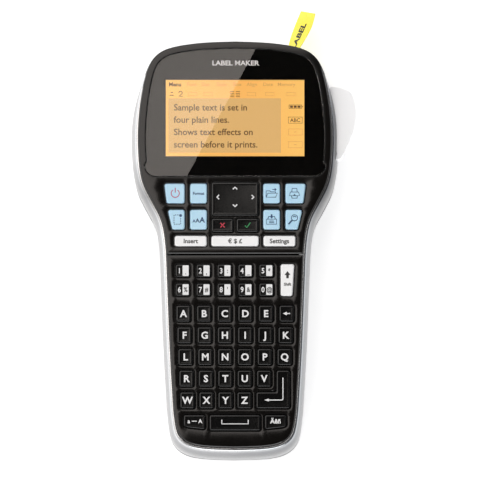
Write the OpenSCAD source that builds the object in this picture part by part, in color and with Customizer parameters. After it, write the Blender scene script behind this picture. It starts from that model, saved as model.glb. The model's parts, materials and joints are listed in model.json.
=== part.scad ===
// Handheld label maker, lying on its back with the face up.
// X runs across the face, Y runs from the tail to the tape exit, Z is the face normal.
// The origin is on the flat back of the head, which the label maker rests on.

/* [Casing] */
// Overall length of the casing from tail to top end
body_len = 216; // [200:1:260]
// Distance from the origin to the top end
nose_len = 50; // [48:1:54]
// Width of the head across the bright band
head_w = 108; // [104:1:130]
// Width of the grip across the bright band, below the shoulders
grip_w = 77.6; // [74:0.2:94]
// Depth of the casing from the back to the face
case_h = 48; // [46:0.5:58]
// Height of the split between rear housing and band
split_z = 16; // [14:0.5:18]
// Height by which the waist of the grip stands clear of the table
grip_rise = 13; // [8:0.5:14]
// Wall thickness of the housing
wall = 2.4; // [1.8:0.1:2.8]
// Width by which the band flares out around the face
flare = 4.1; // [3:0.1:4.5]
// Width of the bright front lip of the band
lip = 1.2; // [0.8:0.1:1.4]
// Thickness of the two face plates
face_t = 2.4; // [1.8:0.1:2.8]

/* [Display] */
// Width of the liquid crystal panel
lcd_w = 73; // [60:0.5:76]
// Height of the liquid crystal panel
lcd_h = 41; // [34:0.5:42]
// Distance of the panel centre above the origin
lcd_y = 10; // [9:0.5:12]
// Inset of the lens from the edge of the face
lens_inset = 3.6; // [3:0.1:5]
// Thickness of the lens
lens_t = 1.4; // [1:0.1:1.6]

/* [Keys] */
// Height by which the keys stand above the face
key_proud = 0.5; // [0.2:0.1:1]
// Travel of every key
key_travel = 0.8; // [0.4:0.1:1]
// Gap around every key in its hole
key_gap = 0.35; // [0.3:0.05:0.5]
// Width of the retaining flange under every key
key_flange = 0.5; // [0.3:0.05:0.55]
// Size of a letter key along the rows
key_w = 7.6; // [6:0.1:7.8]
// Size of a letter key down the columns
key_h = 8.4; // [6:0.1:8.6]
// Pitch of the letter rows
row_pitch = 11.2; // [10.8:0.1:11.6]
// Pitch of the letter columns in the first row
col_pitch = 10.65; // [10.2:0.05:10.9]
// Amount by which the column pitch shrinks from row to row
col_step = 0.21; // [0:0.01:0.25]

/* [Tape drive] */
// Gear module
gear_m = 0.6; // [0.6]
// Teeth on the motor pinion
pinion_z = 12; // [12]
// Teeth on the idler gear
idler_z = 40; // [40]
// Teeth on the platen gear
platen_z = 30; // [30]
// Teeth on the take-up gear
takeup_z = 42; // [42]
// Radius of the rubber platen roller
roller_r = 4; // [3.5:0.1:4.5]
// Width of the label tape
tape_w = 12; // [9:1:12]
// Thickness of the label tape
tape_t = 0.3; // [0.2:0.05:0.4]

/* [Power] */
// Length of the battery pack
pack_l = 47; // [40:1:50]
// Width of the battery pack
pack_w = 36; // [30:1:40]
// Depth of the battery pack
pack_h = 14; // [12:0.5:15]

/* [Fits] */
// Clearance around a part that drops into a recess
fit_gap = 0.15; // [0.1:0.05:0.25]
// Gap around doors and other parts that swing
door_gap = 0.35; // [0.3:0.05:0.5]
// Radial running clearance of pins and shafts
run_gap = 0.05; // [0.03:0.01:0.08]

/* [Hidden] */
$fn = 48;
eps = 0.01;
tail_y = nose_len - body_len;
head_half = head_w / 2 - flare;
grip_half = grip_w / 2 - flare;

// Rest heights of the stack, from the back to the face
plate_z = case_h - face_t;
rim_z = plate_z - 1;
band_top = case_h - 2;
flange_top = plate_z - 0.4;
flange_low = flange_top - 1.8;
mat_top = flange_low - key_travel - 0.3;
mat_t = 1.5;
board_t = 1.6;
key_board_z = mat_top - mat_t - board_t;
key_top = case_h + key_proud;

// Smooth curve through a list of points, n steps for each stretch
function curve_at(p, i, t) =
    let (a = p[max(i - 1, 0)], b = p[i], c = p[i + 1], d = p[min(i + 2, len(p) - 1)])
    0.5 * (2 * b + (c - a) * t + (2 * a - 5 * b + 4 * c - d) * t * t
        + (3 * b - 3 * c + d - a) * t * t * t);
function curve(p, n) = concat(
    [for (i = [0 : len(p) - 2]) for (k = [0 : n - 1]) curve_at(p, i, k / n)],
    [p[len(p) - 1]]);
function ease(t) = let (u = min(max(t, 0), 1)) u * u * (3 - 2 * u);
function unit(v) = v / norm(v);
function mirrored(half) = concat(half, [for (i = [len(half) - 2 : -1 : 1]) [-half[i].x, half[i].y]]);

// Right half of the edge of the face, from the top end round to the tail
face_pts = [
    [0, nose_len], [18, nose_len - 0.8], [33, nose_len - 3.2], [41, nose_len - 7.4],
    [45.4 - 49.9 + head_half, nose_len - 14.8], [48.4 - 49.9 + head_half, 21],
    [head_half, 4], [head_half - 0.5, -13], [head_half - 2.6, -24],
    [grip_half + 8, -33.5], [grip_half + 3.3, -43], [grip_half + 1, -55], [grip_half, -74],
    [grip_half - 1.2, tail_y + 62], [grip_half - 2.5, tail_y + 38], [grip_half - 4, tail_y + 19],
    [grip_half - 7.4, tail_y + 10], [grip_half - 16.5, tail_y + 6], [0, tail_y + 5]];
face_half = curve(face_pts, 3);
half_n = len(face_half);

// Outward direction of the edge at point i, and how far the band has flared there
function normal(i) = i == 0 ? [0, 1] : i == half_n - 1 ? [0, -1]
    : let (d = unit(face_half[i + 1] - face_half[i - 1])) [-d.y, d.x];
function flared(i) = ease((nose_len - 2 - face_half[i].y) / (nose_len - 8));
function tail_extra(i) = 0.9 * ease((tail_y + 20 - face_half[i].y) / 12);
function edge(out, extra = 0) = [for (i = [0 : half_n - 1])
    face_half[i] + normal(i) * ((out + (out > 0 ? tail_extra(i) * out / flare : 0)) * flared(i) + extra)];
function face_edge(inset) = mirrored(edge(0, -inset));
// Inner wall: one plain wall at the top end, closer to the face where the band adds its own depth
cavity_half = [for (i = [0 : half_n - 1]) face_half[i] - normal(i) * (wall - (wall - 1) * flared(i))];

// Height of the back at y: flat head, raised waist, heel at the tail, rounded ends
waist_y0 = -34;
waist_y1 = -58;
heel_y0 = tail_y + 42;
heel_y1 = tail_y + 22;
back_r = 8;
back_rise = 10;
function waist(y) = grip_rise * (ease((waist_y0 - y) / (waist_y0 - waist_y1))
    - ease((heel_y0 - y) / (heel_y0 - heel_y1)));
function end_rise(d) = d >= back_r ? 0
    : back_rise * (1 - sqrt(max(0, 1 - pow((back_r - d) / back_r, 2))));
function back_z(y) = max(waist(y), end_rise(nose_len - y), end_rise(y - tail_y));

module slab(pts, z0, z1) translate([0, 0, z0]) linear_extrude(z1 - z0) polygon(pts);
module box(x0, x1, y0, y1, z0, z1) translate([x0, y0, z0]) cube([x1 - x0, y1 - y0, z1 - z0]);
module rod(x, y, r, z0, z1) translate([x, y, z0]) cylinder(r = r, h = z1 - z0);
module ring(x, y, r_out, r_in, z0, z1) difference() {
    rod(x, y, r_out, z0, z1);
    rod(x, y, r_in, z0 - 1, z1 + 1);
}

// ---------------------------------------------------------------- casing

// Outline of the back seen from the side, and the block it is cut from
outer_half = edge(flare);
profile_step = 2;
module side_profile(shift) translate([-100, 0, 0]) rotate([90, 0, 90]) linear_extrude(200)
    polygon(concat(
        [for (y = [tail_y + shift : profile_step : nose_len - shift]) [y, back_z(y) + shift]],
        [[nose_len - shift, back_z(nose_len - shift) + shift], [nose_len - shift, case_h],
            [tail_y + shift, case_h]]));
foot_inset = 2.2;
foot_h = 3;
module back_block() intersection() {
    union() {
        slab(mirrored(outer_half), foot_h, split_z);
        slab(mirrored(edge(flare, -foot_inset)), 0, foot_h);
    }
    side_profile(0);
}

// Openings in the back
cas_x0 = -39;
cas_x1 = 26;
cas_y0 = -18;
cas_y1 = 38;
bat_half = 21;
bat_y1 = -64;
catch_room = 2.4;
bat_y0 = bat_y1 - catch_room - pack_l - 3;
hinge_r = 1.6;

// Points where the screws hold the casing together
screw_xy = [[-40, -26], [40, -26], [-22, tail_y + 14], [22, tail_y + 14]];
post_r = 3.2;
screw_r = 1.4;

module inner_room() intersection() {
    slab(mirrored(cavity_half), 0, split_z + 1);
    side_profile(wall);
}

module rear_housing() color([0.13, 0.13, 0.14]) difference() {
    union() {
        difference() {
            back_block();
            inner_room();
        }
        for (p = screw_xy) rod(p.x, p.y, post_r, back_z(p.y) + wall - 1, split_z + 4);
        // Ribs that carry the mechanism plate
        for (x = [-44, 27.2]) box(x, x + 2, -12, 12, wall - 1, chassis_z);
        // Lugs that carry the hinge pins of both doors
        for (x = [cas_x0 - lug_l - door_gap, cas_x1 + door_gap])
            box(x, x + lug_l, cas_y0 - 2.4, cas_y0 + 2.2, 0.4, 5);
        for (x = [-bat_half - lug_l - door_gap, bat_half + door_gap])
            box(x, x + lug_l, bat_y0 - 2.4, bat_y0 + 2.2, grip_rise + 0.4, grip_rise + 5);
        // Rails on both sides of the battery pack, standing on feet beyond its door
        for (s = [-1, 1]) {
            rail(s, bat_y0 - 5, bat_y1 + 3.2, grip_rise + 2 * hinge_r + 0.6);
            rail(s, bat_y0 - 5, bat_y0 - 2.6, grip_rise + wall - 1);
            rail(s, bat_y1 + 0.8, bat_y1 + 3.2, grip_rise + wall - 1);
        }
    }
    tape_slot();
    door_hole(cas_x0, cas_x1, cas_y0, cas_y1, -1, 7);
    door_hole(-bat_half, bat_half, bat_y0, bat_y1, grip_rise - 3, 3 + wall + 0.6);
    hinge_bore(cas_x0, cas_x1, cas_y0, hinge_r);
    hinge_bore(-bat_half, bat_half, bat_y0, grip_rise + hinge_r);
    for (p = screw_xy) {
        rod(p.x, p.y, screw_r, -1, split_z + 5);
        rod(p.x, p.y, screw_r + 1.3, -1, back_z(p.y) + 1.6);
    }
}
rail_t = 1.6;
module rail(s, y0, y1, z0) translate([s * (pack_w + rail_t) / 2, 0, 0])
    box(-rail_t / 2, rail_t / 2, y0, y1, z0, pack_z + pack_h / 2);
module door_hole(x0, x1, y0, y1, z0, h)
    box(x0 - door_gap, x1 + door_gap, y0 - hinge_r - door_gap, y1 + door_gap, z0, z0 + h);
pin_r = 0.9;
pin_l = 2.6;
lug_l = 4;
module hinge_bore(x0, x1, y, z) for (s = [x0 - door_gap - pin_l - 0.6, x1 + door_gap - 0.5])
    translate([s, y, z]) rotate([0, 90, 0]) cylinder(r = pin_r + run_gap, h = pin_l + 1.1);

// Door that swings on two stub pins along its lower edge
module door(x0, x1, y0, y1, z, t) {
    box(x0, x1, y0, y1, z, z + t);
    translate([x0, y0, z + hinge_r]) rotate([0, 90, 0]) cylinder(r = hinge_r, h = x1 - x0);
    for (s = [x0 - door_gap - pin_l, x1 - 1])
        translate([s, y0, z + hinge_r]) rotate([0, 90, 0])
            cylinder(r = pin_r, h = pin_l + door_gap + 1);
}
module cassette_door() color([0.16, 0.16, 0.17]) difference() {
    union() {
        door(cas_x0, cas_x1, cas_y0, cas_y1, 0, 2.4);
        box(-14, 0, cas_y1 - 2, cas_y1 - 0.6, 2, 6);
    }
    for (k = [0 : 4]) box(-16, 2, cas_y1 - 6 - 2.4 * k, cas_y1 - 4.8 - 2.4 * k, -1, 0.6);
}
module battery_door() color([0.16, 0.16, 0.17]) difference() {
    union() {
        door(-bat_half, bat_half, bat_y0, bat_y1, grip_rise, 2.2);
        box(-5, 5, bat_y1 - 2, bat_y1 - 0.6, grip_rise + 2, grip_rise + 4.5);
    }
    for (k = [0 : 3]) box(-8, 8, bat_y1 - 6 - 2.4 * k, bat_y1 - 4.8 - 2.4 * k,
        grip_rise - 1, grip_rise + 0.6);
}

// Ring of the casing between the rear housing and the face, in steps that narrow toward the lip
band_out = [flare, flare * 0.93, flare * 0.8, flare * 0.6, lip];
band_share = [0, 0.5, 0.68, 0.82, 0.94, 1];
function band_z(k) = split_z + band_share[k] * (band_top - split_z);
end_y = nose_len - 17;
module casing_ring() difference() {
    for (k = [0 : len(band_out) - 1])
        slab(mirrored(edge(band_out[k])), band_z(k), band_z(k + 1) + (k < 4 ? eps : 0));
    slab(mirrored(cavity_half), split_z - 1, case_h);
}

// Finger lever, its window in the band and its pivot
lever_x = head_half + 0.7;
lever_y = -8;
lever_z0 = split_z + 5;
lever_z1 = rim_z - 4;
pivot_r = 1.2;
boss_r = 3.2;
module lever_window() box(head_half - 12, head_half + 20, lever_y - boss_r - 1, 27.9,
    lever_z0 - 0.6, lever_z1 + 0.6);

module side_band() color([0.82, 0.83, 0.85]) difference() {
    union() {
        intersection() {
            casing_ring();
            box(-100, 100, tail_y - 1, end_y - fit_gap, 0, case_h + 1);
        }
        // Posts that the case screws pull on, tied to the wall, with the key board on top
        for (p = screw_xy) {
            rod(p.x, p.y, post_r, split_z + 4, key_board_z);
            box(min(p.x, p.x + sign(p.x) * 8), max(p.x, p.x + sign(p.x) * 8), p.y - 1, p.y + 1,
                split_z + 6, split_z + 16);
        }
    }
    slab(face_edge(-0.1), rim_z, case_h);
    lever_window();
    rod(lever_x, lever_y, pivot_r, split_z + 1, band_top - 3);
    for (p = screw_xy) rod(p.x, p.y, screw_r - 0.3, split_z, split_z + 12);
}
slot_x0 = 24;
slot_x1 = 38;
module tape_slot() box(slot_x0, slot_x1, nose_len - 10, nose_len + 5,
    tape_z0 - 1.2, tape_z0 + tape_w + 1.6);
module end_cap() color([0.1, 0.1, 0.11]) difference() {
    intersection() {
        casing_ring();
        box(-100, 100, end_y, nose_len + 1, 0, rim_z);
    }
    tape_slot();
}

// ---------------------------------------------------------------- face

seam_y = -61;
lens_y0 = -20.4;
function lens_pts(extra) = concat(
    [for (i = [half_n - 1 : -1 : 1]) let (p = face_half[i] - normal(i) * (lens_inset - extra))
        if (p.y > lens_y0 + 4) p],
    [for (i = [0 : half_n - 1]) let (p = face_half[i] - normal(i) * (lens_inset - extra))
        if (p.y > lens_y0 + 4) [-p.x, p.y]],
    [for (k = [0 : 4]) let (t = 180 + 22.5 * k)
        [-head_half + 9 + (6 + extra) * cos(t), lens_y0 + 6 + (6 + extra) * sin(t)]],
    [for (k = [0 : 4]) let (t = 270 + 22.5 * k)
        [head_half - 9 + (6 + extra) * cos(t), lens_y0 + 6 + (6 + extra) * sin(t)]]);
module lens_shape(extra) polygon(lens_pts(extra));

module face_blank() {
    slab(face_edge(0), rim_z, case_h - 0.7);
    slab(face_edge(0.5), case_h - 0.7 - eps, case_h);
}
module face_shell() difference() {
    face_blank();
    slab(face_edge(2.4), rim_z - 1, plate_z);
}

module head_face() color([0.05, 0.05, 0.05]) difference() {
    intersection() {
        face_shell();
        box(-100, 100, seam_y + 0.2, 100, 0, 100);
    }
    translate([0, 0, case_h - lens_t]) linear_extrude(5) lens_shape(fit_gap);
    box(-lcd_w / 2 + 0.6, lcd_w / 2 - 0.6, lcd_y - lcd_h / 2 + 0.6, lcd_y + lcd_h / 2 - 0.6,
        0, case_h + 1);
    for (k = head_keys) key_hole(key_shapes[k]);
}
module keypad_face() color([0.05, 0.05, 0.05]) difference() {
    intersection() {
        face_shell();
        box(-100, 100, tail_y, seam_y - 0.2, 0, 100);
    }
    for (k = pad_keys) key_hole(key_shapes[k]);
    for (r = [0 : 1]) for (c = [0 : 4]) key_hole(digit_shape(r, c));
    for (r = [0 : 4]) for (c = [0 : row_count[r] - 1]) key_hole(letter_shape(r, c));
}
module display_lens() color([0.2, 0.19, 0.17]) translate([0, 0, case_h - lens_t])
    linear_extrude(lens_t) lens_shape(0);

lcd_z1 = plate_z;
lcd_t = 2.2;
module lcd_panel() color([0.99, 0.8, 0.42])
    box(-lcd_w / 2, lcd_w / 2, lcd_y - lcd_h / 2, lcd_y + lcd_h / 2, lcd_z1 - lcd_t, lcd_z1);
holder_z = lcd_z1 - lcd_t - 3;
module lcd_holder() color([0.9, 0.9, 0.88]) difference() {
    box(-lcd_w / 2 - 2, lcd_w / 2 + 2, lcd_y - lcd_h / 2 - 2, lcd_y + lcd_h / 2 + 2, holder_z, lcd_z1);
    box(-lcd_w / 2 - fit_gap, lcd_w / 2 + fit_gap, lcd_y - lcd_h / 2 - fit_gap,
        lcd_y + lcd_h / 2 + fit_gap, lcd_z1 - lcd_t, lcd_z1 + 1);
}

// ---------------------------------------------------------------- keys

function rect(x0, x1, y0, y1) = [[x0, y0], [x1, y0], [x1, y1], [x0, y1]];
function mirror_x(p) = [for (i = [len(p) - 1 : -1 : 0]) [-p[i].x, p[i].y]];
ctrl_y1 = -34.5;
ctrl_y2 = -48.1;
ctrl_h = 10.2;
wide_y = -56.8;
wide_h = 5.4;
digit_y = -69.5;
digit_pitch = 9.8;
letter_y = -91.7;
low_y = letter_y - 4 * row_pitch - 7.6;
function upper_row(x0, x1) = rect(x0, x1, ctrl_y1, ctrl_y1 + ctrl_h);
function lower_row(x0, x1) = rect(x0, x1, ctrl_y2, ctrl_y2 + ctrl_h);
power_pts = [[-26.1, ctrl_y1], [-26.1, ctrl_y1 + ctrl_h], [-36.6, ctrl_y1 + ctrl_h], [-35.3, ctrl_y1]];
label_pts = [[-26.1, ctrl_y2], [-26.1, ctrl_y2 + ctrl_h], [-34.8, ctrl_y2 + ctrl_h], [-32.4, ctrl_y2]];
shift_pts = [[23.6, digit_y - digit_pitch - 3.3], [29.6, digit_y - digit_pitch - 3.3],
    [30.6, digit_y + 3.4], [23.6, digit_y + 3.4]];
enter_x = col_x(4, 5) + key_w / 2;
enter_pts = [[col_x(4, 4) - key_w / 2, letter_y - 4 * row_pitch - key_h / 2],
    [enter_x, letter_y - 4 * row_pitch - key_h / 2],
    [enter_x, letter_y - 3 * row_pitch + key_h / 2],
    [col_x(4, 5) - key_w / 2 + 0.6, letter_y - 3 * row_pitch + key_h / 2],
    [col_x(4, 5) - key_w / 2 + 0.6, letter_y - 4 * row_pitch + key_h / 2],
    [col_x(4, 4) - key_w / 2, letter_y - 4 * row_pitch + key_h / 2]];
caps_pts = [[-15.3, low_y - 7.4], [-15.3, low_y], [-26.5, low_y], [-26.5, low_y - 5.6],
    [-24.5, low_y - 6.4]];
// Outlines of the keys that have their own node
key_shapes = [
    power_pts, upper_row(-23.2, -14.6), label_pts, lower_row(-23.2, -14.6),
    upper_row(14.6, 23.2), mirror_x(power_pts), lower_row(14.6, 23.2), mirror_x(label_pts),
    rect(-12.2, 12.2, -41, -23.6), rect(-12.2, -0.7, -49.4, -42.4), rect(0.7, 12.2, -49.4, -42.4),
    rect(-31.2, -14.7, wide_y, wide_y + wide_h), rect(-12.2, 12.2, wide_y, wide_y + wide_h),
    rect(14.7, 31.2, wide_y, wide_y + wide_h),
    shift_pts, enter_pts, caps_pts, rect(-13.2, 13.2, low_y - 8, low_y), mirror_x(caps_pts)];
head_keys = [0 : 13];
pad_keys = [14 : 18];
row_count = [6, 6, 6, 5, 4];
function col_x(r, c) = (c - 2.5) * (col_pitch - col_step * r);
function letter_shape(r, c) = let (x = col_x(r, c), y = letter_y - r * row_pitch)
    rect(x - key_w / 2, x + key_w / 2, y - key_h / 2, y + key_h / 2);
function digit_shape(r, c) = let (x = (c - 2.5) * 10.8, y = digit_y - r * digit_pitch)
    rect(x - 3.8, x + 3.8, y - 3.3, y + 3.3);

corner_r = 1.1;
module key_outline(pts, grow) offset(r = corner_r + grow, $fn = 8)
    offset(delta = -corner_r) polygon(pts);
module key_cap(pts) {
    translate([0, 0, flange_top - 0.1]) linear_extrude(key_top - 0.5 - flange_top + 0.1)
        key_outline(pts, 0);
    translate([0, 0, key_top - 0.5 - eps]) linear_extrude(0.25 + eps) key_outline(pts, -0.12);
    translate([0, 0, key_top - 0.25 - eps]) linear_extrude(0.25 + eps) key_outline(pts, -0.4);
    translate([0, 0, flange_low]) linear_extrude(flange_top - flange_low)
        offset(delta = key_flange) polygon(pts);
}
pocket_w = 0.6;
pocket_d = 0.5;
module key_hole(pts) {
    translate([0, 0, flange_low - 4]) linear_extrude(10) key_outline(pts, key_gap);
    translate([0, 0, case_h - pocket_d]) linear_extrude(2) key_outline(pts, pocket_w);
}
blue = [0.75, 0.89, 0.96];
black = [0.06, 0.06, 0.06];
white = [0.93, 0.93, 0.93];
module key_power() color(blue) key_cap(key_shapes[0]);
module key_format() color(blue) key_cap(key_shapes[1]);
module key_new_label() color(blue) key_cap(key_shapes[2]);
module key_text_size() color(blue) key_cap(key_shapes[3]);
module key_open() color(blue) key_cap(key_shapes[4]);
module key_print() color(blue) key_cap(key_shapes[5]);
module key_save() color(blue) key_cap(key_shapes[6]);
module key_preview() color(blue) key_cap(key_shapes[7]);
module key_nav_pad() color(black) key_cap(key_shapes[8]);
module key_cancel() color(black) key_cap(key_shapes[9]);
module key_ok() color(black) key_cap(key_shapes[10]);
module key_insert() color(white) key_cap(key_shapes[11]);
module key_currency() color(white) key_cap(key_shapes[12]);
module key_settings() color(white) key_cap(key_shapes[13]);
module key_shift() color(white) key_cap(key_shapes[14]);
module key_enter() color(black) key_cap(key_shapes[15]);
module key_caps() color(black) key_cap(key_shapes[16]);
module key_space() color(black) key_cap(key_shapes[17]);
module key_accent() color(black) key_cap(key_shapes[18]);
module digit_row(r) color(black) for (c = [0 : 4]) key_cap(digit_shape(r, c));
module letter_row(r) color(black) for (c = [0 : row_count[r] - 1]) key_cap(letter_shape(r, c));
module keys_one_five() digit_row(0);
module keys_six_zero() digit_row(1);
module keys_a_e() letter_row(0);
module keys_f_k() letter_row(1);
module keys_l_q() letter_row(2);
module keys_r_v() letter_row(3);
module keys_w_z() letter_row(4);

// Rubber mat and board under the keys
module mat_area(inset) intersection() {
    polygon(face_edge(inset));
    translate([-100, tail_y]) square([200, lens_y0 - tail_y]);
}
module key_mat() color([0.75, 0.75, 0.72]) translate([0, 0, mat_top - mat_t])
    linear_extrude(mat_t) mat_area(4.2);
module keypad_board() color([0.1, 0.35, 0.2]) translate([0, 0, key_board_z])
    linear_extrude(board_t) mat_area(3.4);

// ---------------------------------------------------------------- head interior

chassis_z = 24;
chassis_t = 2;
gear_z = chassis_z + chassis_t + 0.6;
gear_t = 3;
roller_x = 30;
roller_y = 22;
tape_x = roller_x - roller_r - tape_t / 2 - 0.35;
idler_x = 34.6;
idler_y = 1.5;
motor_x = 38;
motor_y = idler_y - 15.2;
take_x = 9.94;
take_y = 13.98;
roll_x = -18;
roll_y = 9;
supply_x = 11;
supply_y = -6;
shaft_r = 1.5;

module main_board() color([0.1, 0.35, 0.2]) difference() {
    box(-40, 42, -16, 34, holder_z - board_t - 1.5, holder_z - 1.5);
    box(36, 60, -14, 40, 0, 60);
}
module board_spacers() for (p = [[-37, -13], [-37, 31], [28, -14], [10, 31]])
    rod(p.x, p.y, 2, chassis_z + chassis_t - 0.5, holder_z - board_t - 1.5);

chassis_x1 = 40;
module chassis_plate() color([0.62, 0.63, 0.65]) difference() {
    union() {
        translate([0, 0, chassis_z]) linear_extrude(chassis_t) intersection() {
            polygon(face_edge(4.5));
            translate([-60, -21]) square([60 + chassis_x1, 57]);
        }
        board_spacers();
        rod(idler_x, idler_y, shaft_r, chassis_z, gear_z + gear_t + 0.6);
        for (p = [[roll_x, roll_y], [supply_x, supply_y]]) rod(p.x, p.y, shaft_r, 8, chassis_z + 1);
    }
    rod(motor_x, motor_y, 4.4, 0, 60);
    rod(roller_x, roller_y, shaft_r + run_gap, 0, 60);
    rod(take_x, take_y, shaft_r + run_gap, 0, 60);
}

module feed_motor() color([0.7, 0.7, 0.72]) {
    rod(motor_x, motor_y, 7.6, chassis_z - 19, chassis_z);
    rod(motor_x, motor_y, 2.2, chassis_z - 0.5, chassis_z + 1);
}

// Straight-flanked stub tooth gear, with the tooth centred on the angle given
tooth_gap = 0.13;
module gear_profile(z, turn) {
    r = gear_m * z / 2;
    tip = r + gear_m * 0.78;
    root = r - gear_m * 0.98;
    pitch = 360 / z;
    half_mid = pitch / 4 - asin(tooth_gap / 2 / r);
    flank = gear_m * tan(22);
    half_tip = half_mid - asin(min(0.9, flank * 0.78 / tip));
    half_root = half_mid + asin(min(0.9, flank * 0.9 / root));
    polygon([for (i = [0 : z - 1]) for (s = [[-half_root, root], [-half_mid, r], [-half_tip, tip],
        [half_tip, tip], [half_mid, r], [half_root, root]])
        let (a = turn + i * pitch + s[0]) s[1] * [cos(a), sin(a)]]);
}
module gear(x, y, z, turn, bore) translate([x, y, gear_z]) difference() {
    linear_extrude(gear_t) gear_profile(z, turn);
    if (bore > 0) translate([0, 0, -1]) cylinder(r = bore, h = gear_t + 2);
}
// Each gear is turned so that one of its gaps faces a tooth of the gear that drives it
function toward(a, b) = atan2(b.y - a.y, b.x - a.x);
function meshed(z_from, turn_from, z_to, a, b) =
    let (dir = toward(a, b), phase = (dir - turn_from) * z_from / z_to)
    dir + 180 + phase + 180 / z_to;
pinion_turn = 0;
idler_turn = meshed(pinion_z, pinion_turn, idler_z, [motor_x, motor_y], [idler_x, idler_y]);
platen_turn = meshed(idler_z, idler_turn, platen_z, [idler_x, idler_y], [roller_x, roller_y]);
take_turn = meshed(platen_z, platen_turn, takeup_z, [roller_x, roller_y], [take_x, take_y]);

module motor_pinion() color([0.85, 0.7, 0.3]) {
    gear(motor_x, motor_y, pinion_z, pinion_turn, 0);
    rod(motor_x, motor_y, 1, chassis_z + 1.3, gear_z + 0.5);
}
module idler_gear() color([0.9, 0.9, 0.86])
    gear(idler_x, idler_y, idler_z, idler_turn, shaft_r + run_gap);
module platen_gear() color([0.9, 0.9, 0.86]) {
    gear(roller_x, roller_y, platen_z, platen_turn, 0);
    rod(roller_x, roller_y, shaft_r, 3.6, gear_z + 0.5);
}
module platen_roller() color([0.2, 0.2, 0.2])
    ring(roller_x, roller_y, roller_r, shaft_r, tape_z0 - 0.5, tape_z0 + tape_w + 0.5);
module takeup_gear() color([0.9, 0.9, 0.86]) {
    gear(take_x, take_y, takeup_z, take_turn, 0);
    rod(take_x, take_y, shaft_r, 5.6, gear_z + 0.5);
}

// Cassette
case_z0 = 3.4;
case_z1 = chassis_z - 0.8;
tape_z0 = 6.4;
lid_t = 1.4;
case_half_x0 = -37.5;
case_x1 = 21.6;
case_y0 = -16.4;
case_y1 = 31;
module cassette_outline(inset) offset(delta = -inset) polygon([
    [case_half_x0 + 4, case_y0], [case_x1 - 3, case_y0], [case_x1, case_y0 + 3],
    [case_x1, case_y1 - 2], [case_x1 - 2, case_y1], [-24, case_y1], [case_half_x0, case_y1 - 12],
    [case_half_x0, case_y0 + 4]]);
module cassette_case() color([0.85, 0.86, 0.88]) difference() {
    translate([0, 0, case_z0]) linear_extrude(case_z1 - lid_t - case_z0) cassette_outline(0);
    translate([0, 0, case_z0 + 1.2]) linear_extrude(40) cassette_outline(1.2);
    rod(take_x, take_y, 2.6, 0, 40);
    box(case_x1 - 3, case_x1 + 1, case_y1 - 7, case_y1 - 5, tape_z0 - 1, 40);
}
module cassette_lid() color([0.8, 0.82, 0.84]) difference() {
    translate([0, 0, case_z1 - lid_t]) linear_extrude(lid_t) cassette_outline(0);
    for (p = [[roll_x, roll_y], [supply_x, supply_y], [take_x, take_y]])
        rod(p.x, p.y, 2.6, 0, 40);
}
spool_z1 = case_z1 - lid_t - 0.4;
module tape_roll() color([0.98, 0.9, 0.3]) {
    ring(roll_x, roll_y, 17, 4.5, tape_z0, tape_z0 + tape_w);
    ring(roll_x, roll_y, 4.5, shaft_r + run_gap, case_z0 + 5, spool_z1);
}
module ribbon_supply() color([0.15, 0.15, 0.16]) {
    ring(supply_x, supply_y, 6.5, 3, tape_z0, tape_z0 + tape_w);
    ring(supply_x, supply_y, 3, shaft_r + run_gap, case_z0 + 5, spool_z1);
}
module takeup_spool() color([0.15, 0.15, 0.16]) {
    ring(take_x, take_y, 5.4, 3, tape_z0, tape_z0 + tape_w);
    ring(take_x, take_y, 3, shaft_r, case_z0 + 1.8, spool_z1);
}
module print_head() color([0.75, 0.72, 0.6]) {
    box(tape_x - 1.35, tape_x - 0.35, roller_y - 4, roller_y + 4, tape_z0 - 0.5, chassis_z);
    box(tape_x - 2.6, tape_x - 1.35, roller_y - 6, roller_y + 6, tape_z0 + 2, chassis_z);
}

// Label tape: on edge past the roller and through the exit, then its free end lies face up
strip = curve([[tape_x, roller_y - 6], [tape_x, roller_y + 6], [tape_x + 0.7, 39],
    [28.4, 47], [29.6, 50.5]], 3);
function beside(pts, d) = [for (i = [0 : len(pts) - 1])
    let (go = unit(pts[min(i + 1, len(pts) - 1)] - pts[max(i - 1, 0)])) pts[i] + d * [go.y, -go.x]];
function reversed(pts) = [for (i = [len(pts) - 1 : -1 : 0]) pts[i]];
free_l = 19;
free_way = -26.7;
free_rise = 16;
free_roll = -28;
module label_tape() color([0.98, 0.92, 0.32]) {
    translate([0, 0, tape_z0]) linear_extrude(tape_w)
        polygon(concat(beside(strip, tape_t / 2), reversed(beside(strip, -tape_t / 2))));
    translate([29.2, 49.6, tape_z0 + tape_w / 2])
        rotate([0, 0, free_way]) rotate([free_rise, 0, 0]) rotate([0, free_roll, 0])
            translate([-tape_w / 2, 0, -tape_t / 2]) cube([tape_w, free_l, tape_t]);
}

// ---------------------------------------------------------------- cutter

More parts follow.
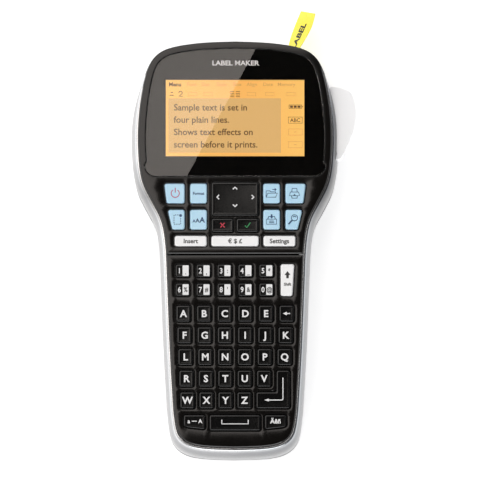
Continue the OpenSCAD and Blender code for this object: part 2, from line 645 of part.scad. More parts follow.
lever_pts = [for (p = [[0.2, 27.2], [5.6, 26.2], [10.5, 23.8], [12.4, 18], [12.9, 12],
    [11.7, 4.6], [9.1, -2], [5.3, -9.8], [1.7, lever_y - boss_r]]) [head_half + p.x, p.y]];
lever_in = [[lever_x - 2.4, lever_y - 2], [lever_x - 1.2, 4], [lever_x - 2.4, 16],
    [head_half - 3.3, 24]];
nose_x = 39.6;
nose_y = 36.5;
nose_r = 1.4;
arm_z0 = lever_z0;
arm_z1 = lever_z0 + 2.4;
swing_deg = 9;
stroke = (nose_x - lever_x) * (1 - cos(swing_deg)) + (nose_y - lever_y) * sin(swing_deg);
module cutter_lever() color([0.86, 0.87, 0.88]) difference() {
    union() {
        translate([0, 0, lever_z0]) linear_extrude(lever_z1 - lever_z0) polygon(concat(
            curve(lever_pts, 3), lever_in));
        rod(lever_x, lever_y, boss_r, lever_z0, lever_z1);
        translate([0, 0, arm_z0]) linear_extrude(arm_z1 - arm_z0) polygon([
            [43, 18], [head_half - 1, 20], [45.5, 25], [nose_x + nose_r, nose_y],
            [nose_x - nose_r, nose_y]]);
        rod(nose_x, nose_y, nose_r, arm_z0, arm_z1);
    }
    rod(lever_x, lever_y, pivot_r + run_gap, 0, 60);
    ring(lever_x, lever_y, pivot_r + 2 * wire_r + 0.55, pivot_r - 1, lever_z1 - groove_h, 60);
    // Hollow behind the finger pad
    box(lever_x - 10, lever_x + 7.5, lever_y + boss_r + 0.5, 18, arm_z1 + 1, lever_z1 - 3);
}
module lever_pin() color([0.75, 0.76, 0.78]) {
    rod(lever_x, lever_y, pivot_r, split_z + 1, band_top - 3);
}
// Closed coils of the return spring, in a groove on top of the lever's boss
spring_n = 3;
wire_r = 0.3;
groove_h = 2.4;
module lever_spring() color([0.6, 0.6, 0.62]) for (k = [0 : spring_n - 1])
    translate([lever_x, lever_y, lever_z1 - groove_h + 0.5 + 2 * wire_r * k])
        rotate_extrude() translate([pivot_r + wire_r + 0.25, 0]) circle(r = wire_r, $fn = 24);
blade_x = nose_x - nose_r - 0.3;
blade_end = tape_x + 1.1 + tape_t / 2;
module cutter_blade() color([0.78, 0.79, 0.8]) {
    box(blade_end + stroke, blade_x, nose_y - 0.4, nose_y + 0.4, tape_z0 - 1, arm_z1);
    box(blade_x - 2.4, blade_x, nose_y - 3.4, nose_y + 2.4, arm_z0 - 2, arm_z1);
}

// ---------------------------------------------------------------- power and fasteners

pack_z = grip_rise + 2.2 + 1.4;
pack_y1 = bat_y1 - catch_room;
module battery_pack() color([0.2, 0.3, 0.55])
    box(-pack_w / 2, pack_w / 2, pack_y1 - pack_l, pack_y1, pack_z, pack_z + pack_h);
module battery_contacts() color([0.85, 0.7, 0.3]) for (s = [-1, 0, 1])
    box(s * 6 - 1.5, s * 6 + 1.5, pack_y1, pack_y1 + 0.6, pack_z + 4, key_board_z);
module case_screws() color([0.5, 0.5, 0.52]) for (p = screw_xy) {
    rod(p.x, p.y, screw_r - 0.3, back_z(p.y) + 1, split_z + 11);
    rod(p.x, p.y, screw_r + 1.1, back_z(p.y) + 0.2, back_z(p.y) + 1.6);
}

rear_housing();
side_band();
end_cap();
head_face();
keypad_face();
display_lens();
lcd_panel();
lcd_holder();
main_board();
keypad_board();
key_mat();
chassis_plate();
feed_motor();
motor_pinion();
idler_gear();
platen_gear();
platen_roller();
takeup_gear();
takeup_spool();
ribbon_supply();
print_head();
cutter_lever();
lever_pin();
lever_spring();
cutter_blade();
cassette_case();
cassette_lid();
tape_roll();
label_tape();
cassette_door();
battery_pack();
battery_door();
battery_contacts();
case_screws();
key_power();
key_format();
key_new_label();
key_text_size();
key_open();
key_print();
key_save();
key_preview();
key_nav_pad();
key_cancel();
key_ok();
key_insert();
key_currency();
key_settings();
key_shift();
key_enter();
key_caps();
key_space();
key_accent();
keys_one_five();
keys_six_zero();
keys_a_e();
keys_f_k();
keys_l_q();
keys_r_v();
keys_w_z();
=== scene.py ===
# %% [markdown]
# # A handheld label maker
# The label maker lies on its back with its face up. Its measured parts come from the packed
# frame, and this lesson gives every part that can be seen its real shape and finish.
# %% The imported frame
import json
import math
import bmesh
import bpy
from mathutils import Matrix, Vector
from mathutils.bvhtree import BVHTree

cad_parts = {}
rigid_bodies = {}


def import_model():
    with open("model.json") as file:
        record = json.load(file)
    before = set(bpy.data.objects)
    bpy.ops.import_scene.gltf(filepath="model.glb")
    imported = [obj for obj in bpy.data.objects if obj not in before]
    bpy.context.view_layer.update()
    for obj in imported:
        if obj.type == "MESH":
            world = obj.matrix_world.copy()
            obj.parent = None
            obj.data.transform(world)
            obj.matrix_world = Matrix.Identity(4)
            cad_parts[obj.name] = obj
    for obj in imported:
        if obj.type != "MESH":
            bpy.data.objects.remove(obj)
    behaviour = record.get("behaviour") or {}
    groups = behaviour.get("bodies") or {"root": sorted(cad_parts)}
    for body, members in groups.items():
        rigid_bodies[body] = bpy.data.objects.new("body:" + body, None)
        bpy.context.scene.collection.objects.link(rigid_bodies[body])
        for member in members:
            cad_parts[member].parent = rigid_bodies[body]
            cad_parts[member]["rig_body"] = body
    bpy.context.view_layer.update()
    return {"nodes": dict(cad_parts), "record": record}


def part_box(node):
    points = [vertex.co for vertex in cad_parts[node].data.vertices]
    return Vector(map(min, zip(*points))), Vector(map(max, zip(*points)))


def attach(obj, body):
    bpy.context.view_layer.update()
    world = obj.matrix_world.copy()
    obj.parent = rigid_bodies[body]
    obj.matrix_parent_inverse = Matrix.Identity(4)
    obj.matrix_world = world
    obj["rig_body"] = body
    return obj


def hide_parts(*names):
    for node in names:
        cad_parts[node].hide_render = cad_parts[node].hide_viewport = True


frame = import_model()
parts = frame["nodes"]
mm = 0.001
print("parts in the frame:", len(parts))
# %% [markdown]
# ## Camera, floor and light
# The camera stands far away with a long lens, so the sides hardly spread. It leans a little
# towards the tail. The floor is plain white. The sky is bright all round and dark straight
# above, because glossy black plastic shows whatever hangs over it.
# %% Camera
face_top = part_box("head_face")[1].z
frame_width = 0.2502
camera_far = 2.6
camera_lift = math.radians(85)
aim = Vector((0.0036, -0.0546, face_top))
bpy.ops.object.camera_add(location=aim + camera_far * Vector(
    (0, -math.cos(camera_lift), math.sin(camera_lift))))
camera = bpy.context.active_object
camera.name = "camera"
camera.rotation_euler = (math.pi / 2 - camera_lift, 0, 0)
camera.data.sensor_width = 36
camera.data.lens = 36 * camera_far / frame_width
camera.data.clip_end = 20
bpy.context.scene.camera = camera
bpy.context.scene.view_settings.view_transform = "Standard"
print("lens", round(camera.data.lens), "mm")
# %% Sockets as sums
class Wire:
    """One output of a shader node, on which ordinary sums can be written."""

    def __init__(self, finish, socket):
        self.finish = finish
        self.socket = socket

    def sum(self, operation, first, second):
        node = self.finish.node("ShaderNodeMath", {"operation": operation}, {0: first, 1: second})
        return Wire(self.finish, node.outputs[0])

    def __add__(self, other):
        return self.sum("ADD", self, other)

    def __sub__(self, other):
        return self.sum("SUBTRACT", self, other)

    def __mul__(self, other):
        return self.sum("MULTIPLY", self, other)

    def __gt__(self, other):
        return self.sum("GREATER_THAN", self, other)

    __radd__ = __add__
    __rmul__ = __mul__


class Finish:
    """A surface finish, built node by node on the piece's own coordinates."""

    def __init__(self, name, tree=None):
        if tree is None:
            self.material = bpy.data.materials.new(name)
            self.material.use_nodes = True
            tree = self.material.node_tree
        self.tree = tree
        self.tree.nodes.clear()

    def node(self, kind, settings=None, sockets=None):
        made = self.tree.nodes.new(kind)
        for key, value in (settings or {}).items():
            if key == "stops":
                for place, colour in value[1:-1]:
                    made.color_ramp.elements.new(place)
                for stop, (place, colour) in zip(made.color_ramp.elements, value):
                    stop.position = place
                    stop.color = (*colour, 1)
            else:
                setattr(made, key, value)
        for key, value in (sockets or {}).items():
            if isinstance(value, Wire):
                self.tree.links.new(value.socket, made.inputs[key])
            else:
                made.inputs[key].default_value = value
        return made

    def wire(self, node, output):
        return Wire(self, node.outputs[output])

    def place(self):
        return self.wire(self.node("ShaderNodeTexCoord"), "Object")

    def axis(self, letter):
        return self.wire(self.node("ShaderNodeSeparateXYZ", None, {0: self.place()}), letter)

    def noise(self, size, detail=2.0, stretch=(1, 1, 1)):
        mapped = self.node("ShaderNodeMapping", None, {"Vector": self.place(), "Scale": stretch})
        made = self.node("ShaderNodeTexNoise", None, {
            "Vector": self.wire(mapped, 0), "Scale": 1 / size, "Detail": detail})
        return self.wire(made, 0)

    def ramp(self, factor, stops):
        """Colour by factor; a plain number in a stop is a grey."""
        stops = [(place, (tone,) * 3 if isinstance(tone, float) else tone)
                 for place, tone in stops]
        return self.wire(self.node("ShaderNodeValToRGB", {"stops": stops}, {0: factor}), 0)

    def times(self, first, second):
        """Two colours multiplied."""
        made = self.node("ShaderNodeMix", {"data_type": "RGBA", "blend_type": "MULTIPLY"}, {
            0: 1.0, 6: first, 7: second})
        return self.wire(made, 2)

    def blend(self, factor, first, second):
        made = self.node("ShaderNodeMix", {"data_type": "RGBA"}, {
            0: factor, 6: (*first, 1) if isinstance(first, tuple) else first,
            7: (*second, 1) if isinstance(second, tuple) else second})
        return self.wire(made, 2)

    def bump(self, height, depth):
        made = self.node("ShaderNodeBump", None, {
            "Height": height, "Strength": 1.0, "Distance": depth})
        return self.wire(made, 0)

    def surface(self, **sockets):
        named = {key.replace("_", " "): value for key, value in sockets.items()}
        shader = self.node("ShaderNodeBsdfPrincipled", None, named)
        self.node("ShaderNodeOutputMaterial", None, {"Surface": self.wire(shader, 0)})
        return self.material


print("shader helper ready")
# %% Light
world = bpy.data.worlds.new("studio")
world.use_nodes = True
bpy.context.scene.world = world
sky = Finish("studio", world.node_tree)
way = sky.wire(sky.node("ShaderNodeTexCoord"), "Generated")
split = sky.node("ShaderNodeSeparateXYZ", None, {0: way})
rise = sky.ramp(sky.wire(split, "Z"), [(0.0, 1.0), (0.62, 1.0), (0.90, 0.25), (0.97, 0.02)])
across = sky.ramp(sky.wire(split, "X") * 0.5 + 0.5,
                  [(0.0, 1.0), (0.5, 1.0), (0.8, (0.16, 0.17, 0.19))])
glow = sky.node("ShaderNodeBackground", None, {
    "Color": sky.times(rise, across), "Strength": 1.0})
sky.node("ShaderNodeOutputWorld", None, {"Surface": sky.wire(glow, 0)})


def softbox(name, place, target, wide, long, watts):
    """A soft oblong lamp that faces a point."""
    bpy.ops.object.light_add(type="AREA", location=place)
    lamp = bpy.context.active_object
    lamp.name = name
    lamp.data.shape = "RECTANGLE"
    lamp.data.size = wide
    lamp.data.size_y = long
    lamp.data.energy = watts
    lamp.visible_camera = False
    lamp.rotation_euler = (Vector(target) - Vector(place)).to_track_quat("-Z", "Y").to_euler()
    return lamp


# A large card hangs above; its straight edge shows as a slanted line across the lens
card_high = 1.35
card_edge = Vector((0.0135, 0.209, 0)), Vector((-0.0273, 0.133, 0))
card_slope = math.atan2(card_edge[0].y - card_edge[1].y, card_edge[0].x - card_edge[1].x)
card_wide = 0.9
card_long = 1.4
card_mid = (card_edge[0] + card_edge[1]) / 2 + card_wide / 2 * Vector(
    (-math.sin(card_slope), math.cos(card_slope), 0)) + Vector((0, 0, card_high))
card = softbox("card_left", card_mid, card_mid - Vector((0, 0, 1)), card_long, card_wide, 7.2)
card.data.color = (1, 0.93, 0.88)
card.rotation_euler = (0, 0, card_slope)
softbox("lamp_tail", (0.1, -1.4, 0.9), (0, -0.06, 0), 1.2, 0.5, 8)
softbox("lamp_right", (1.3, 0.5, 0.8), (0, -0.06, 0), 0.25, 1.2, 3)
print("card slope", round(math.degrees(card_slope), 1), "degrees")
# %% Floor
bpy.ops.mesh.primitive_plane_add(size=6, location=(0, 0, -0.0002))
floor = bpy.context.active_object
floor.name = "floor"
paper = Finish("floor_paper")
cloud = paper.noise(0.4)
floor.data.materials.append(paper.surface(
    Base_Color=paper.blend(cloud, (0.86, 0.86, 0.86), (0.9, 0.9, 0.9)), Roughness=0.7,
    Emission_Color=(1, 1, 1, 1), Emission_Strength=0.6))
print("floor", [round(side, 2) for side in floor.dimensions])
# %% [markdown]
# ## Finishes
# Moulded plastic is never one flat colour. Its tone drifts a little, its gloss is uneven
# where it is handled, and the mould leaves a fine grain. One recipe gives all three, and
# each part chooses its tones, gloss and grain.
# %% Moulded plastic
def moulded(name, dark, light, rough, grain=0.0004, depth=0.00001, **more):
    """Plastic with drifting tone, uneven gloss and a fine grain."""
    finish = Finish(name)
    drift = finish.noise(0.03, 3)
    gloss = finish.noise(0.006, 4)
    return finish.surface(
        Base_Color=finish.blend(drift, dark, light),
        Roughness=gloss * 0.1 + (rough - 0.05),
        Normal=finish.bump(finish.noise(grain, 3), depth), **more)


def metal(name, dark, light, rough, brushed=(1, 12, 1), metallic=1.0, **more):
    """Metal or metallic paint with fine lines along the part."""
    finish = Finish(name)
    lines = finish.noise(0.002, 4, brushed)
    drift = finish.noise(0.02, 3)
    return finish.surface(
        Base_Color=finish.blend(drift, dark, light), Metallic=metallic,
        Roughness=lines * 0.12 + (rough - 0.06),
        Normal=finish.bump(lines, 0.000004), **more)


finishes = {
    "dark_plastic": moulded("dark_plastic", (0.016, 0.016, 0.018), (0.026, 0.026, 0.028), 0.42,
                            0.0005, 0.00003),
    "black_gloss": moulded("black_gloss", (0.0035, 0.003, 0.0025), (0.006, 0.005, 0.0045), 0.15,
                           0.0009, 0.000003),
    "cap_gloss": moulded("cap_gloss", (0.004, 0.004, 0.004), (0.008, 0.008, 0.008), 0.15,
                         0.001, 0.000004),
    "white_plastic": moulded("white_plastic", (0.72, 0.71, 0.68), (0.8, 0.8, 0.78), 0.4),
    "rubber": moulded("rubber", (0.03, 0.03, 0.032), (0.05, 0.05, 0.052), 0.75, 0.0008, 0.00004),
    "ceramic": moulded("ceramic", (0.7, 0.66, 0.55), (0.8, 0.77, 0.68), 0.3),
    # The lever has a faint painted glow that lightens it
    "lever_plastic": moulded("lever_plastic", (0.9, 0.91, 0.92), (0.96, 0.96, 0.97), 0.28,
                             0.0008, 0.000008, Subsurface_Weight=0.25,
                             Subsurface_Radius=(0.004, 0.004, 0.004),
                             Emission_Color=(1, 1, 1, 1), Emission_Strength=0.12),
    "cassette_plastic": moulded("cassette_plastic", (0.6, 0.62, 0.64), (0.72, 0.74, 0.76), 0.3),
    "blue_keys": moulded("blue_keys", (0.42, 0.7, 0.92), (0.62, 0.85, 0.98), 0.3, 0.0006,
                         0.000006, Subsurface_Weight=0.15,
                         Subsurface_Radius=(0.002, 0.002, 0.003)),
    "white_keys": moulded("white_keys", (0.93, 0.93, 0.93), (0.98, 0.98, 0.98), 0.34, 0.0006,
                          0.000006),
    "black_keys": moulded("black_keys", (0.002, 0.002, 0.002), (0.004, 0.004, 0.004), 0.15,
                          0.0007, 0.000006),
    "steel": metal("steel", (0.42, 0.42, 0.44), (0.62, 0.62, 0.63), 0.3),
    "brass": metal("brass", (0.62, 0.45, 0.16), (0.8, 0.62, 0.28), 0.28),
    "silver_print": metal("silver_print", (0.62, 0.62, 0.63), (0.8, 0.8, 0.8), 0.3),
    "white_print": moulded("white_print", (0.8, 0.8, 0.8), (0.92, 0.92, 0.92), 0.4),
    "black_print": moulded("black_print", (0.012, 0.012, 0.014), (0.03, 0.03, 0.03), 0.4),
    "navy_print": moulded("navy_print", (0.01, 0.04, 0.12), (0.03, 0.09, 0.2), 0.4),
    "red_print": moulded("red_print", (0.5, 0.03, 0.06), (0.62, 0.06, 0.09), 0.4),
    "pink_print": moulded("pink_print", (0.5, 0.12, 0.2), (0.62, 0.2, 0.28), 0.4),
    "green_print": moulded("green_print", (0.02, 0.2, 0.06), (0.04, 0.3, 0.1), 0.4),
    "lens_mask": moulded("lens_mask", (0.003, 0.0025, 0.002), (0.005, 0.0045, 0.004), 0.6,
                         Specular_IOR_Level=0.0),
}
print("finishes", len(finishes))
# %% Finishes with a pattern, and the band's painted shade
def band_painted_shade():
    """Silver paint with painted shade and painted dark reflections: darker low on the flank, at
    the right, at the waist and at the tail.
    """
    finish = Finish("silver_band")
    lines = finish.noise(0.002, 4, (1, 1, 6))
    # Painted shade: darker towards the right, standing in for the dark reflections on that side
    right = finish.ramp(finish.axis("X") * 8.3 + 0.5, [
        (0.0, (0.72, 0.73, 0.74)), (0.45, (0.8, 0.81, 0.82)), (0.78, (0.5, 0.52, 0.54)),
        (0.92, (0.2, 0.205, 0.215))])
    # Painted shade: darker at the tail and in a stripe at the waist
    tail = finish.ramp(finish.axis("Y") * 4.17 + 0.709, [
        (0.0, (0.5, 0.5, 0.51)), (0.06, 0.9), (0.5, 1.0), (0.58, 0.45), (0.66, 1.0), (1.0, 1.0)])
    # Painted shade: darker low on the flank, where the band would reflect the shaded floor
    low = finish.ramp(finish.axis("Z") * 38.5 - 0.77, [
        (0.0, (0.42, 0.42, 0.43)), (0.63, (0.3, 0.3, 0.31)), (0.75, (0.36, 0.36, 0.37)),
        (0.855, (0.48, 0.48, 0.49)), (0.93, (0.62, 0.62, 0.63)), (0.97, 1.0)])
    return finish.surface(
        Base_Color=finish.times(finish.times(right, tail), low), Metallic=0.92,
        Roughness=lines * 0.12 + 0.16, Normal=finish.bump(lines, 0.000004))


def circuit():
    """Green board with copper tracks under the varnish."""
    finish = Finish("board")
    tracks = finish.node("ShaderNodeTexBrick", None, {
        "Vector": finish.place(), "Scale": 260.0, "Mortar Size": 0.03,
        "Color1": (0.01, 0.11, 0.05, 1), "Color2": (0.012, 0.14, 0.06, 1),
        "Mortar": (0.04, 0.24, 0.1, 1)})
    return finish.surface(Base_Color=finish.wire(tracks, 0),
                          Roughness=finish.noise(0.01) * 0.2 + 0.2)


def display():
    """Back-lit panel with the faint dot grid; its amber glow is real, and is painted brighter at
    the left as a painted reflection of the lamp above.
    """
    finish = Finish("lcd")
    across = finish.axis("X") * 10.0 + 0.5
    grid = finish.node("ShaderNodeTexBrick", None, {
        "Vector": finish.place(), "Scale": 2400.0, "Mortar Size": 0.04,
        "Color1": (1, 1, 1, 1), "Color2": (0.98, 0.98, 0.98, 1), "Mortar": (0.93, 0.93, 0.93, 1)})
    # Painted reflection: the glow is lighter at the left, where the lamp above would show on the
    # lens
    amber = finish.ramp(across, [
        (0.0, (0.86, 0.52, 0.13)), (0.55, (0.84, 0.42, 0.1)), (1.0, (0.88, 0.54, 0.14))])
    return finish.surface(Base_Color=(0.2, 0.12, 0.04, 1), Roughness=0.5,
                          Emission_Strength=1.12,
                          Emission_Color=finish.times(amber, finish.wire(grid, 0)))


def tape_film_with_painted_glow():
    """Glossy yellow tape with a faint painted glow, a little deeper in tone in random patches."""
    finish = Finish("label_tape")
    tone_patches = finish.noise(0.012, 2)
    return finish.surface(
        Base_Color=finish.blend(tone_patches, (0.93, 0.8, 0.05), (0.98, 0.94, 0.12)),
        Roughness=finish.noise(0.004) * 0.1 + 0.22,
        # A faint painted glow brightens the tape
        Emission_Color=finish.blend(tone_patches, (0.9, 0.72, 0.02), (0.95, 0.88, 0.1)),
        Emission_Strength=0.3,
        Normal=finish.bump(finish.noise(0.002), 0.00001))


def cell_wrap():
    """Printed sleeve of the battery pack, with a darker end."""
    finish = Finish("battery")
    end = finish.axis("Y") * 1000 > -74.0
    wear = finish.noise(0.003, 4)
    body = finish.blend(wear, (0.02, 0.05, 0.16), (0.03, 0.08, 0.24))
    return finish.surface(Base_Color=finish.blend(end, body, (0.6, 0.6, 0.62)),
                          Roughness=wear * 0.2 + 0.25)


def clear_lens():
    """Clear acrylic that shows the display below it."""
    finish = Finish("lens")
    return finish.surface(
        Base_Color=finish.blend(finish.noise(0.05), (0.97, 0.95, 0.92), (1.0, 0.98, 0.95)),
        Roughness=finish.noise(0.01, 3) * 0.004, Transmission_Weight=1.0, IOR=1.46)


def glowing(name, colour, light):
    """Ink of the display, which dims the light behind it."""
    finish = Finish(name)
    shade = finish.blend(finish.noise(0.002), colour, light)
    return finish.surface(Base_Color=(0.02, 0.01, 0.0, 1), Roughness=0.5,
                          Emission_Color=shade, Emission_Strength=0.9)


finishes["silver_band"] = band_painted_shade()
finishes["board"] = circuit()
finishes["lcd"] = display()
finishes["label_tape"] = tape_film_with_painted_glow()
finishes["battery"] = cell_wrap()
finishes["lens"] = clear_lens()
finishes["lcd_ink"] = glowing("lcd_ink", (0.10, 0.05, 0.018), (0.13, 0.06, 0.02))
finishes["lcd_faint"] = glowing("lcd_faint", (0.78, 0.42, 0.12), (0.82, 0.45, 0.13))
finishes["lcd_field"] = glowing("lcd_field", (0.86, 0.53, 0.2), (0.83, 0.5, 0.18))
print("finishes in all", len(finishes))
# %% Parts that keep their own shape
for name, part in parts.items():
    slot = part.data.materials[0].name.split(".")[0]
    part["slot_name"] = slot
    for place in range(len(part.material_slots)):
        part.material_slots[place].material = finishes[slot]
print("parts dressed", len(parts))
# %% [markdown]
# ## Outlines
# The casing is one outline drawn twice: once around the face, and once a little further out
# where the bright band flares. The frame's parts hold both as straight pieces, so the points
# are read from them and joined again with a smooth curve.
# %% Reading an outline
def merged(name):
    """The mesh of a part with its loose triangles joined."""
    mesh = bmesh.new()
    mesh.from_mesh(parts[name].data)
    bmesh.ops.remove_doubles(mesh, verts=mesh.verts, dist=1e-6)
    return mesh


def rims(name, height):
    """Closed outlines at a height, where a level face meets an upright one."""
    mesh = merged(name)
    follow = {}
    for edge in mesh.edges:
        if len(edge.link_faces) != 2 or any(abs(v.co.z - height) > 1e-5 for v in edge.verts):
            continue
        tilts = sorted(abs(face.normal.z) for face in edge.link_faces)
        if tilts[0] < 0.5 and tilts[1] > 0.9:
            a, b = edge.verts
            follow.setdefault(a, []).append(b)
            follow.setdefault(b, []).append(a)
    loops = []
    left = set(follow)
    while left:
        start = left.pop()
        loop = [start]
        while True:
            ahead = [v for v in follow[loop[-1]] if v in left]
            if not ahead:
                break
            left.discard(ahead[0])
            loop.append(ahead[0])
        loops.append([Vector((v.co.x, v.co.y)) for v in loop])
    mesh.free()
    return loops


def area(loop):
    """Signed area of a closed outline."""
    return sum(a.x * b.y - b.x * a.y for a, b in zip(loop, loop[1:] + loop[:1])) / 2


def turns_of(loop):
    """Every point of a closed outline with the one before and the one after."""
    return zip(loop[-1:] + loop[:-1], loop, loop[1:] + loop[:1])


def leftwise(loop):
    """The outline with its inside on the left."""
    return loop if area(loop) > 0 else loop[::-1]


rim_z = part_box("head_face")[0].z
split_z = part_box("side_band")[0].z
seam = (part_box("head_face")[0].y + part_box("keypad_face")[1].y) / 2
rim_wide = 2.4 * mm
rim_points = [p for name in ("head_face", "keypad_face") for loop in rims(name, rim_z)
              for p in loop if abs(p.y - seam) > 0.3 * mm]


def on_outside(p):
    """Whether a point of the rim is on its outer edge, as told by its partner on the inner."""
    partner = min((q for q in rim_points if q is not p),
                  key=lambda q: abs((q - p).length - rim_wide))
    middle = Vector((0, min(max(p.y, -0.14), 0.02)))
    return (p - partner).dot(p - middle) > 0


face_points = sorted((p for p in rim_points if p.x > -1e-6 and on_outside(p)), key=lambda p: -p.y)
print("points on the right half of the face", len(face_points))
# %% Both outlines made smooth
def between(a, b, c, d, t):
    """Point at share t of the smooth stretch from b to c, with neighbours a and d."""
    return 0.5 * (2 * b + (c - a) * t + (2 * a - 5 * b + 4 * c - d) * t * t
                  + (3 * b - 3 * c + d - a) * t ** 3)


def smooth_open(points, steps):
    """A smooth curve through points, with that many steps in each stretch."""
    last = len(points) - 1
    near = [[points[min(max(i + k, 0), last)] for k in (-1, 0, 1, 2)] for i in range(last)]
    return [between(*four, k / steps) for four in near for k in range(steps)] + [points[last]]


def smooth_closed(loop, steps):
    """A smooth curve round a closed outline."""
    near = [[loop[(i + k) % len(loop)] for k in (-1, 0, 1, 2)] for i in range(len(loop))]
    return [between(*four, k / steps) for four in near for k in range(steps)]


def mirrored(half):
    """A whole outline from its right half."""
    return half + [Vector((-p.x, p.y)) for p in half[-2:0:-1]]


def outward(loop):
    """Direction out of the outline at every point of a clockwise loop."""
    ways = [(after - before).normalized() for before, _, after in turns_of(loop)]
    return [Vector((-way.y, way.x)) for way in ways]


rear = merged("rear_housing")
ledge = [Vector((-v.co.x, v.co.y)) for v in rear.verts
         if abs(v.co.z - split_z) < 1e-5 and v.co.x < 1e-6]
rear.free()
flare_points = []
for point, out in zip(face_points, outward(mirrored(face_points))):
    near = [q for q in ledge if -0.1 * mm < (q - point).dot(out) < 7 * mm]
    flare_points.append(min(near, key=lambda q: (abs((q - point).cross(out))
                                                 + 0.02 * (q - point).length)))
flare_points[0].x = flare_points[-1].x = 0
outline_steps = 4
face_ring = mirrored(smooth_open(face_points, outline_steps))
flare_ring = mirrored(smooth_open(flare_points, outline_steps))
face_out = outward(face_ring)
print("flare", round(max((a - b).length for a, b in zip(face_ring, flare_ring)) / mm, 2), "mm;",
      "points in a ring", len(face_ring))
# %% [markdown]
# ## Rings that become walls
# A wall that changes shape as it rises is drawn as a ring of points, pulled up ring by ring.
# This is what extruding an edge loop again and again does, and every ring can be placed
# exactly, so the band, the housing, the face and the keys are all made this way.
# %% Small helpers
def deselect():
    """Leave edit mode and select nothing."""
    if bpy.context.mode != "OBJECT":
        bpy.ops.object.mode_set(mode="OBJECT")
    bpy.ops.object.select_all(action="DESELECT")


def choose(piece):
    """Select one piece alone."""
    deselect()
    piece.select_set(True)
    bpy.context.view_layer.objects.active = piece


def finish_modifier(piece, kind, **settings):
    """Add a modifier and apply it at once."""
    modifier = piece.modifiers.new(kind.lower(), kind)
    for key, value in settings.items():
        setattr(modifier, key, value)
    choose(piece)
    bpy.ops.object.modifier_apply(modifier=modifier.name)


def bevel(piece, width, segments=2, angle=50):
    """Round every edge sharper than an angle; the width is in millimetres."""
    finish_modifier(piece, "BEVEL", width=width * mm, segments=segments, limit_method="ANGLE",
                    angle_limit=math.radians(angle))


def unselected(piece):
    """The mesh of a piece in edit mode, with nothing selected."""
    mesh = bmesh.from_edit_mesh(piece.data)
    mesh.verts.ensure_lookup_table()
    for element in (*mesh.verts, *mesh.edges, *mesh.faces):
        element.select = False
    return mesh


def end_edit(merge=False):
    """Merge doubled points if asked, turn all faces outward and leave edit mode."""
    bpy.ops.mesh.select_all(action="SELECT")
    if merge:
        bpy.ops.mesh.remove_doubles(threshold=1e-7)
    bpy.ops.mesh.normals_make_consistent(inside=False)
    bpy.ops.object.mode_set(mode="OBJECT")


def edit(piece):
    """Enter edit mode on one piece, with all of it selected."""
    choose(piece)
    bpy.ops.object.mode_set(mode="EDIT")
    bpy.ops.mesh.select_all(action="SELECT")


def at_height(loop, z):
    """A flat outline placed at a height."""
    return [Vector((p.x, p.y, z)) for p in loop]


def select_ring(piece, numbers):
    """In edit mode, select exactly the edges between the numbered vertices."""
    mesh = unselected(piece)
    wanted = {mesh.verts[k] for k in numbers}
    for edge in mesh.edges:
        edge.select = edge.verts[0] in wanted and edge.verts[1] in wanted
    bmesh.update_edit_mesh(piece.data)


def loft(name, rings, caps=(True, True), closed=False):
    """A wall through rings of points, each ring extruded from the one before."""
    deselect()
    count = len(rings[0])
    bpy.ops.mesh.primitive_circle_add(vertices=count, radius=1)
    piece = bpy.context.active_object
    piece.name = name
    for vertex, point in zip(piece.data.vertices, rings[0]):
        vertex.co = point
    bpy.ops.object.mode_set(mode="EDIT")
    bpy.ops.mesh.select_all(action="SELECT")
    for ring in rings[1:] + (rings[:1] if closed else []):
        bpy.ops.mesh.extrude_edges_move()
        mesh = bmesh.from_edit_mesh(piece.data)
        mesh.verts.index_update()
        new = sorted((v for v in mesh.verts if v.select), key=lambda v: v.index)
        for vertex, point in zip(new, ring):
            vertex.co = point
        bmesh.update_edit_mesh(piece.data)
    for wanted, first in zip(caps, (0, count * (len(rings) - 1))):
        if wanted and not closed:
            select_ring(piece, range(first, first + count))
            bpy.ops.mesh.edge_face_add()
    end_edit(closed)
    return piece


def smooth(piece, angle=35):
    """Smooth shading over gentle bends, crisp over sharp ones."""
    choose(piece)
    bpy.ops.object.shade_smooth_by_angle(angle=math.radians(angle))
    return piece


def join(name, pieces):
    """Several meshes made one."""
    choose(pieces[0])
    for piece in pieces:
        piece.select_set(True)
    bpy.ops.object.join()
    pieces[0].name = name
    return pieces[0]


def block(low, high):
    """A cutting block between two corners."""
    deselect()
    low, high = Vector(low), Vector(high)
    bpy.ops.mesh.primitive_cube_add(size=1, location=(low + high) / 2)
    cutter = bpy.context.active_object
    cutter.scale = high - low
    bpy.ops.object.transform_apply(location=True, rotation=True, scale=True)
    return cutter


def cut(piece, cutter):
    """Take the cutter's space out of a piece."""
    finish_modifier(piece, "BOOLEAN", operation="DIFFERENCE", object=cutter, solver="EXACT")
    bpy.data.objects.remove(cutter)


def hand_over(piece, finish, node, body=None, slot=None):
    """Finish a piece, let it stand for a CAD node and move with that node's body."""
    piece.data.materials.clear()
    piece.data.materials.append(finishes[finish])
    if node:
        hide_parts(node)
        body = body or parts[node]["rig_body"]
        slot = slot or parts[node]["slot_name"]
    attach(piece, body)
    print(piece.name, "rides on", body, "with", len(piece.data.polygons), "faces")
    return piece


print("helpers ready")
# %% [markdown]
# ## The bright band and the end cap
# The band is painted plastic that flares out below the face and rolls in to a thin lip. The
# cap closes the top end with the same section. Both come from one ring, which is cut apart
# where the real parts meet.
# %% Band and cap
band_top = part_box("side_band")[1].z
band_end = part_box("side_band")[1].y
cap_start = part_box("end_cap")[0].y
cap_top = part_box("end_cap")[1].z
shelf = 2.0 * mm
lip_gap = 0.1 * mm
